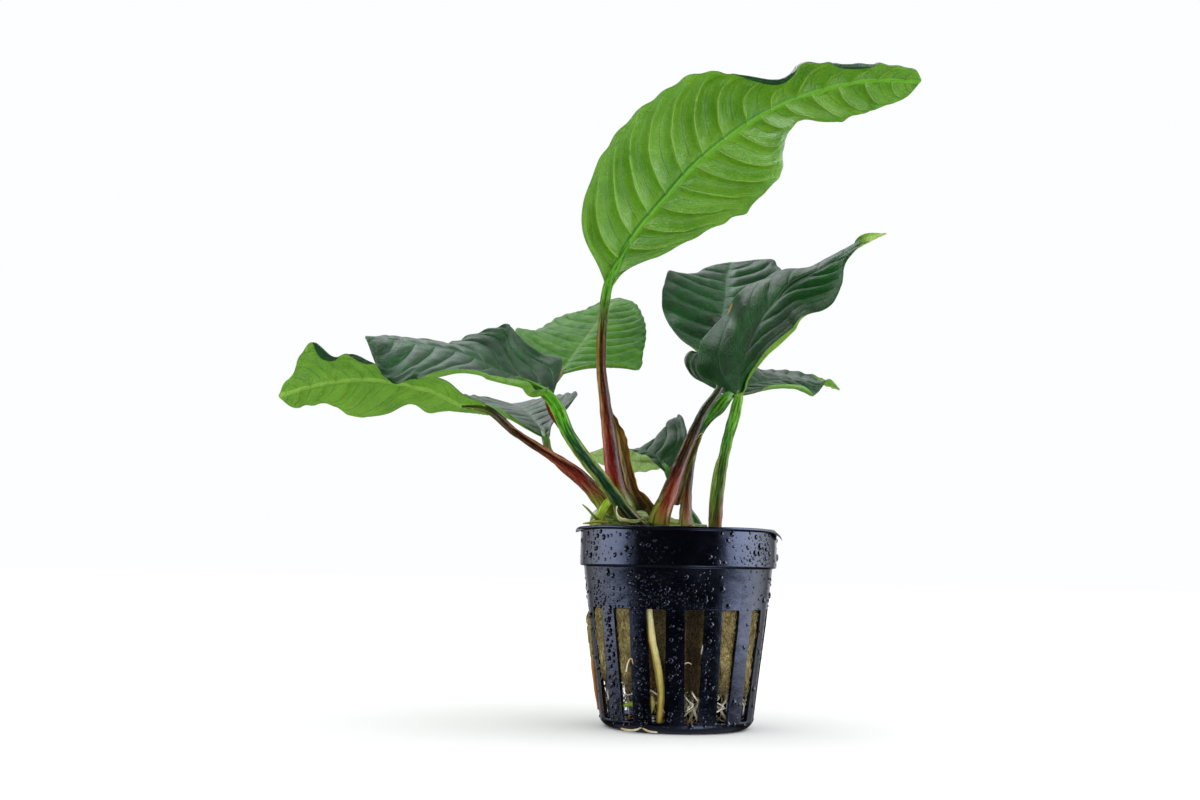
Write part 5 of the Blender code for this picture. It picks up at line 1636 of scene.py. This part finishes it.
# Roots that the photograph shows one by one: first colour, last colour, then points of x, y, z and radius
SEEN_ROOTS = [(BROWN_ROOT, (196, 136, 60), [(-16.4, -9, 11.5, 0.7), (-16.3, -9.1, 8, 0.85),
                                            (-15.8, -9.4, 4.5, 0.8), (-15.2, -9.6, 1.9, 0.55)]),
              (GREEN_TIP, GREEN_TIP, [(-13.4, -14, 6.2, 0.4), (-11.5, -14.8, 6.7, 0.7),
                                      (-9.4, -15.6, 6.6, 0.6), (-7.6, -15.6, 6.2, 0.4)]),
              (TAN_ROOT, GREEN_TIP, [(-6.6, -17.4, 9.8, 0.5), (-6, -17.6, 7.6, 0.9), (-6.4, -17, 5.4, 0.8),
                                     (-7, -16.4, 4, 0.4)]),
              (WHITE_ROOT, TAN_ROOT, [(-12.6, -18.4, 14.8, 0.16), (-12, -18.8, 17.4, 0.18),
                                      (-11.3, -19, 18.2, 0.18), (-10.8, -18.8, 16.8, 0.14)]),
              (WHITE_ROOT, WHITE_ROOT, [(2.6, -16.6, 8.8, 0.35), (4.4, -17, 5.6, 0.4),
                                        (5.6, -16.4, 2.4, 0.35)]),
              (WHITE_ROOT, TAN_ROOT, [(6.4, -16.4, 8.8, 0.4), (4.6, -16.6, 5.8, 0.42), (3, -16, 2.4, 0.35)]),
              (WHITE_ROOT, TAN_ROOT, [(7, -15.6, 8.6, 0.35), (6.2, -16.6, 5, 0.4), (6.3, -16.2, 2, 0.35)]),
              (WHITE_ROOT, TAN_ROOT, [(10.2, -13.6, 6.6, 0.3), (11.8, -13.4, 4.4, 0.38),
                                      (13.4, -12.6, 2, 0.3)]),
              ((240, 236, 220), WHITE_ROOT, [(5.9, -20.3, 19.6, 0.12), (6.3, -20.9, 21.4, 0.2),
                                             (6.6, -20.8, 23, 0.1)]),
              (WHITE_ROOT, TAN_ROOT, [(1.2, -21.1, 16.8, 0.08), (2.6, -21.4, 17.6, 0.14),
                                      (3.6, -21, 17.2, 0.1)]),
              (TAN_ROOT, WHITE_ROOT, [(-13.6, -17.4, 0.9, 0.2), (-12, -18.2, 0.6, 0.32),
                                      (-10.2, -18.6, 0.7, 0.3), (-8.6, -17.6, 1.2, 0.2)]),
              (TAN_ROOT, WHITE_ROOT, [(-8.2, -18, 1.1, 0.2), (-6.6, -18.9, 0.5, 0.3),
                                      (-4.6, -19.4, 0.35, 0.2)])]


HANGING_COUNT = 90
FRONT_COUNT = 56
# Two kinds of fine root: how far above the underside one starts, its radius, its steps and their length, how
# much it thins with each step, its gap to the wall and to the floor, and how far above that gap it may come
# to lie
DEEP_ROOTS = dict(rise=0.5, sizes=(0.14, 0.34), steps=9, stride=1.9, taper=0.06, gap=0.6, floor_gap=0.5,
                  lying=0.6)
FRONT_ROOTS = dict(rise=0.8, sizes=(0.1, 0.24), steps=6, stride=1.7, taper=0.0, gap=0.5, floor_gap=0.4,
                   lying=0.0)


def hanging_route(rng, kind, angle, radius, spread, wander):
    """The route of one fine root, which hangs from the plug, stays inside the wall and bends at the floor."""
    place = np.array([radius * math.cos(angle), radius * math.sin(angle), 0])
    place[2] = plug_bottom(place[0], place[1]) + kind["rise"]
    heading = unit(np.array([*rng.normal(0, spread, 2), -1]))
    size = rng.uniform(*kind["sizes"])
    lowest = FLOOR + kind["floor_gap"]
    points = []
    for step in range(kind["steps"]):
        points.append((*place, size * (1 - kind["taper"] * step)))
        heading = unit(heading + rng.normal(0, wander, 3))
        place = place + heading * kind["stride"]
        limit = body_radius(max(place[2], 0)) - WALL - kind["gap"]
        place[:2] *= min(1, limit / math.hypot(place[0], place[1]))
        if place[2] < lowest:
            place[2] = lowest
            if kind["lying"]:
                place[2] += rng.uniform(0, kind["lying"])
                heading[2] = 0.1
    return points


def hanging_roots():
    """Fine roots that hang from the plug, bend at the floor and tangle there."""
    rng = np.random.default_rng(8)
    routes = [route for _, _, route in SEEN_ROOTS]
    tints = [(first, last) for first, last, _ in SEEN_ROOTS]
    for _ in range(HANGING_COUNT):
        angle = rng.uniform(0, 2 * math.pi)
        spread, wander = (0.25, 0.2) if math.cos(angle) > 0.1 and math.sin(angle) < 0 else (0.6, 0.45)
        routes.append(hanging_route(rng, DEEP_ROOTS, angle, rng.uniform(9, 18), spread, wander))
        tints.append((WHITE_ROOT, TAN_ROOT) if rng.random() < 0.6 else (TAN_ROOT, PALE_TAN))
    for index in range(FRONT_COUNT):
        front = (index % 7 - 3.05) * 360 / SLOT_COUNT + rng.normal(0, 4)
        angle = math.radians(front - 90)
        routes.append(hanging_route(rng, FRONT_ROOTS, angle, rng.uniform(16.5, 18.6), 0.5, 0.4))
        tints.append((WHITE_ROOT, WHITE_ROOT) if rng.random() < 0.8 else (TAN_ROOT, WHITE_ROOT))
    piece = many_tubes("fine_hanging_roots", routes, ROOT, 16, 6, tints)
    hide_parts("lower_root_1", "lower_root_2", "lower_root_3", "lower_root_4")


def anchor_roots():
    """Roots that leave the rhizome and go down into the wool."""
    rng = np.random.default_rng(21)
    routes, tints = [], []
    for x in np.linspace(-19, 6, 11):
        side = rng.choice((-1, 1))
        start = np.array([x, 2.5 + side * 2.4, 50.6])
        out = np.array([rng.normal(0, 0.5), side * rng.uniform(0.6, 1.2), -0.3])
        far = start + out * rng.uniform(3, 5)
        route = [(*start, 0.75), (*(start + out * 1.5), 0.75), (far[0], far[1], 48.4, 0.7)]
        routes.append([*route, (far[0] * 1.05, far[1] * 1.1, 46, 0.6)])
        tints.append((GREEN_TIP, WHITE_ROOT))
    many_tubes("anchor_roots", routes, ROOT, 18, 10, tints)


rockwool()
loose_fibres()
hanging_roots()
anchor_roots()


# Floor, light and camera

# Half the floor's side and how far it lies under the pot, in metres
FLOOR_HALF = 4.0
FLOOR_DROP = 0.0002
# Radiance of the parts of the room that glossy surfaces mirror
LEFT_BOX = 4.3
RIGHT_BOX = 5.6
TOP_PANEL = 2.8
HIGH_LEFT = 3.2
BACK_PANEL = 0.9
FRONT_BELOW = 2.7
DIM_BELOW = 0.2
DARK_FRONT = 0.02
GLINT = 7.0
# Radiance of the soft light that falls on everything
SOFT_LIGHT = 0.6
SOFT_RIGHT = 0.9
SOFT_LEFT = 0.7
SOFT_TOP = 0.65
# Colours of the soft light and of the mirrored room
SOFT_COLOUR = (0.98, 0.99, 1.0)
MIRRORED_COLOUR = (0.92, 0.95, 1.0)
# Small lamps for the glints on water and waxy surfaces: direction to each, and cosines where one starts and
# is full
LAMPS = ((-0.62, -0.12, 0.78), (0.66, 0.05, 0.75))
LAMP_EDGE = (0.975, 0.985)


def pale_floor():
    """A wide pale floor just under the pot, which the sharp reflections don't show."""
    n = Nodes("pale_floor")
    mottle = n.noise(40, 2)
    colour = n.mix(mottle, (0.93, 0.93, 0.93), (0.95, 0.95, 0.95))
    n.finish(Base_Color=colour, Roughness=0.8, Specular_IOR_Level=0.0)
    mesh = bpy.data.meshes.new("floor")
    corners = [(x * FLOOR_HALF, y * FLOOR_HALF, 0) for x, y in ((-1, -1), (1, -1), (1, 1), (-1, 1))]
    mesh.from_pydata(corners, [], [(0, 1, 2, 3)])
    mesh.materials.append(n.material)
    floor = bpy.data.objects.new("floor", mesh)
    floor.location.z = -FLOOR_DROP
    floor.visible_glossy = False
    bpy.context.scene.collection.objects.link(floor)
    return n


def mirrored_room(n, direction, x, y, z):
    """What glossy surfaces mirror: a large box at each side, pale panels above and behind, small lamps
    overhead, a pale patch at the lower right, and a dark opening towards the front."""
    level = n.math("SQRT", n.math("ADD", n.times(x, x), n.times(y, y)))
    to_back = n.math("DIVIDE", y, n.math("MAXIMUM", level, 0.01))
    beside = n.times(n.ramp(-0.64, -0.36, to_back), n.ramp(0.95, -0.15, to_back), n.ramp(-0.34, -0.08, z))
    to_right = n.ramp(-0.05, 0.05, x)
    lower = n.times(n.ramp(0.14, -0.02, z), n.math("SUBTRACT", 1.0, to_right), LEFT_BOX)
    upper = n.times(n.ramp(0.62, 0.42, z), to_right, RIGHT_BOX)
    boxes = n.times(beside, n.total(lower, upper))
    above = n.times(n.ramp(0.5, 0.7, z), n.ramp(0.16, 0.42, y, TOP_PANEL * 0.01, TOP_PANEL),
                    n.ramp(0.25, -0.2, x, 0.12, 1.0))
    high_left = n.times(n.ramp(0.15, 0.4, y), n.ramp(0.3, 0.5, z), n.ramp(-0.3, -0.6, x), HIGH_LEFT)
    behind = n.times(n.ramp(0.84, 0.94, to_back), n.ramp(0.7, 0.5, z), n.ramp(-0.3, 0.0, z), BACK_PANEL)
    below = n.ramp(-0.5, -0.7, z, 0.0, DIM_BELOW)
    front_below = n.times(n.ramp(-0.42, -0.6, z), n.ramp(-0.15, -0.45, y), n.ramp(0.05, 0.4, x), FRONT_BELOW)
    mirrored = n.total(boxes, above, high_left, behind, below, front_below, DARK_FRONT)
    for lamp in LAMPS:
        towards = tuple(unit(np.array(lamp)).tolist())
        facing = n.node("ShaderNodeVectorMath", {0: direction, 1: towards}, "Value", operation="DOT_PRODUCT")
        mirrored = n.total(mirrored, n.ramp(*LAMP_EDGE, facing, 0.0, GLINT))
    return mirrored


def studio():
    """Soft light from all round, more from the right and above, a mirrored room, and plain white behind."""
    n = pale_floor()
    world = bpy.data.worlds.new("studio")
    world.use_nodes = True
    n.tree = world.node_tree
    background = n.tree.nodes["Background"]
    direction = n.node("ShaderNodeTexCoord", {}, "Generated")
    split = n.tree.nodes.new("ShaderNodeSeparateXYZ")
    n.put(split.inputs[0], direction)
    x, y, z = split.outputs
    mirrored = mirrored_room(n, direction, x, y, z)
    soft = n.total(SOFT_LIGHT, n.ramp(0.2, 0.9, x, 0.0, SOFT_RIGHT), n.ramp(-0.2, -0.9, x, 0.0, SOFT_LEFT),
                   n.ramp(0.3, 0.9, z, 0.0, SOFT_TOP))
    light_path = n.tree.nodes.new("ShaderNodeLightPath")
    glossy = light_path.outputs["Is Glossy Ray"]
    seen = light_path.outputs["Is Camera Ray"]
    room = n.total(n.times(mirrored, glossy), n.times(soft, n.math("SUBTRACT", 1.0, glossy)))
    room = n.total(n.times(room, n.math("SUBTRACT", 1.0, seen)), seen)
    n.put(background.inputs[0], n.mix(glossy, SOFT_COLOUR, MIRRORED_COLOUR))
    n.put(background.inputs[1], room)
    bpy.context.scene.world = world
    bpy.context.scene.view_settings.view_transform = "Standard"


CAMERA_PLACE = (0.0, -0.400, 0.0408)
CAMERA_YAW = math.radians(3.05)
CAMERA_PITCH = math.radians(6.24)
CAMERA_ROLL = math.radians(1.1)
# Focal length and film width in millimetres, and the nearest distance shown, in metres
CAMERA_LENS = 45.54
FILM_WIDTH = 36
NEAREST = 0.01


def camera():
    """The camera where the photograph was taken from."""
    data = bpy.data.cameras.new("camera")
    data.lens = CAMERA_LENS
    data.sensor_width = FILM_WIDTH
    data.clip_start = NEAREST
    made = bpy.data.objects.new("camera", data)
    made.location = CAMERA_PLACE
    level = math.cos(CAMERA_PITCH)
    forward = Vector((-math.sin(CAMERA_YAW) * level, math.cos(CAMERA_YAW) * level, math.sin(CAMERA_PITCH)))
    aim = forward.to_track_quat("-Z", "Y").to_matrix().to_4x4()
    made.rotation_euler = (aim @ Matrix.Rotation(CAMERA_ROLL, 4, "Z")).to_euler()
    bpy.context.scene.collection.objects.link(made)
    bpy.context.scene.camera = made


studio()
camera()
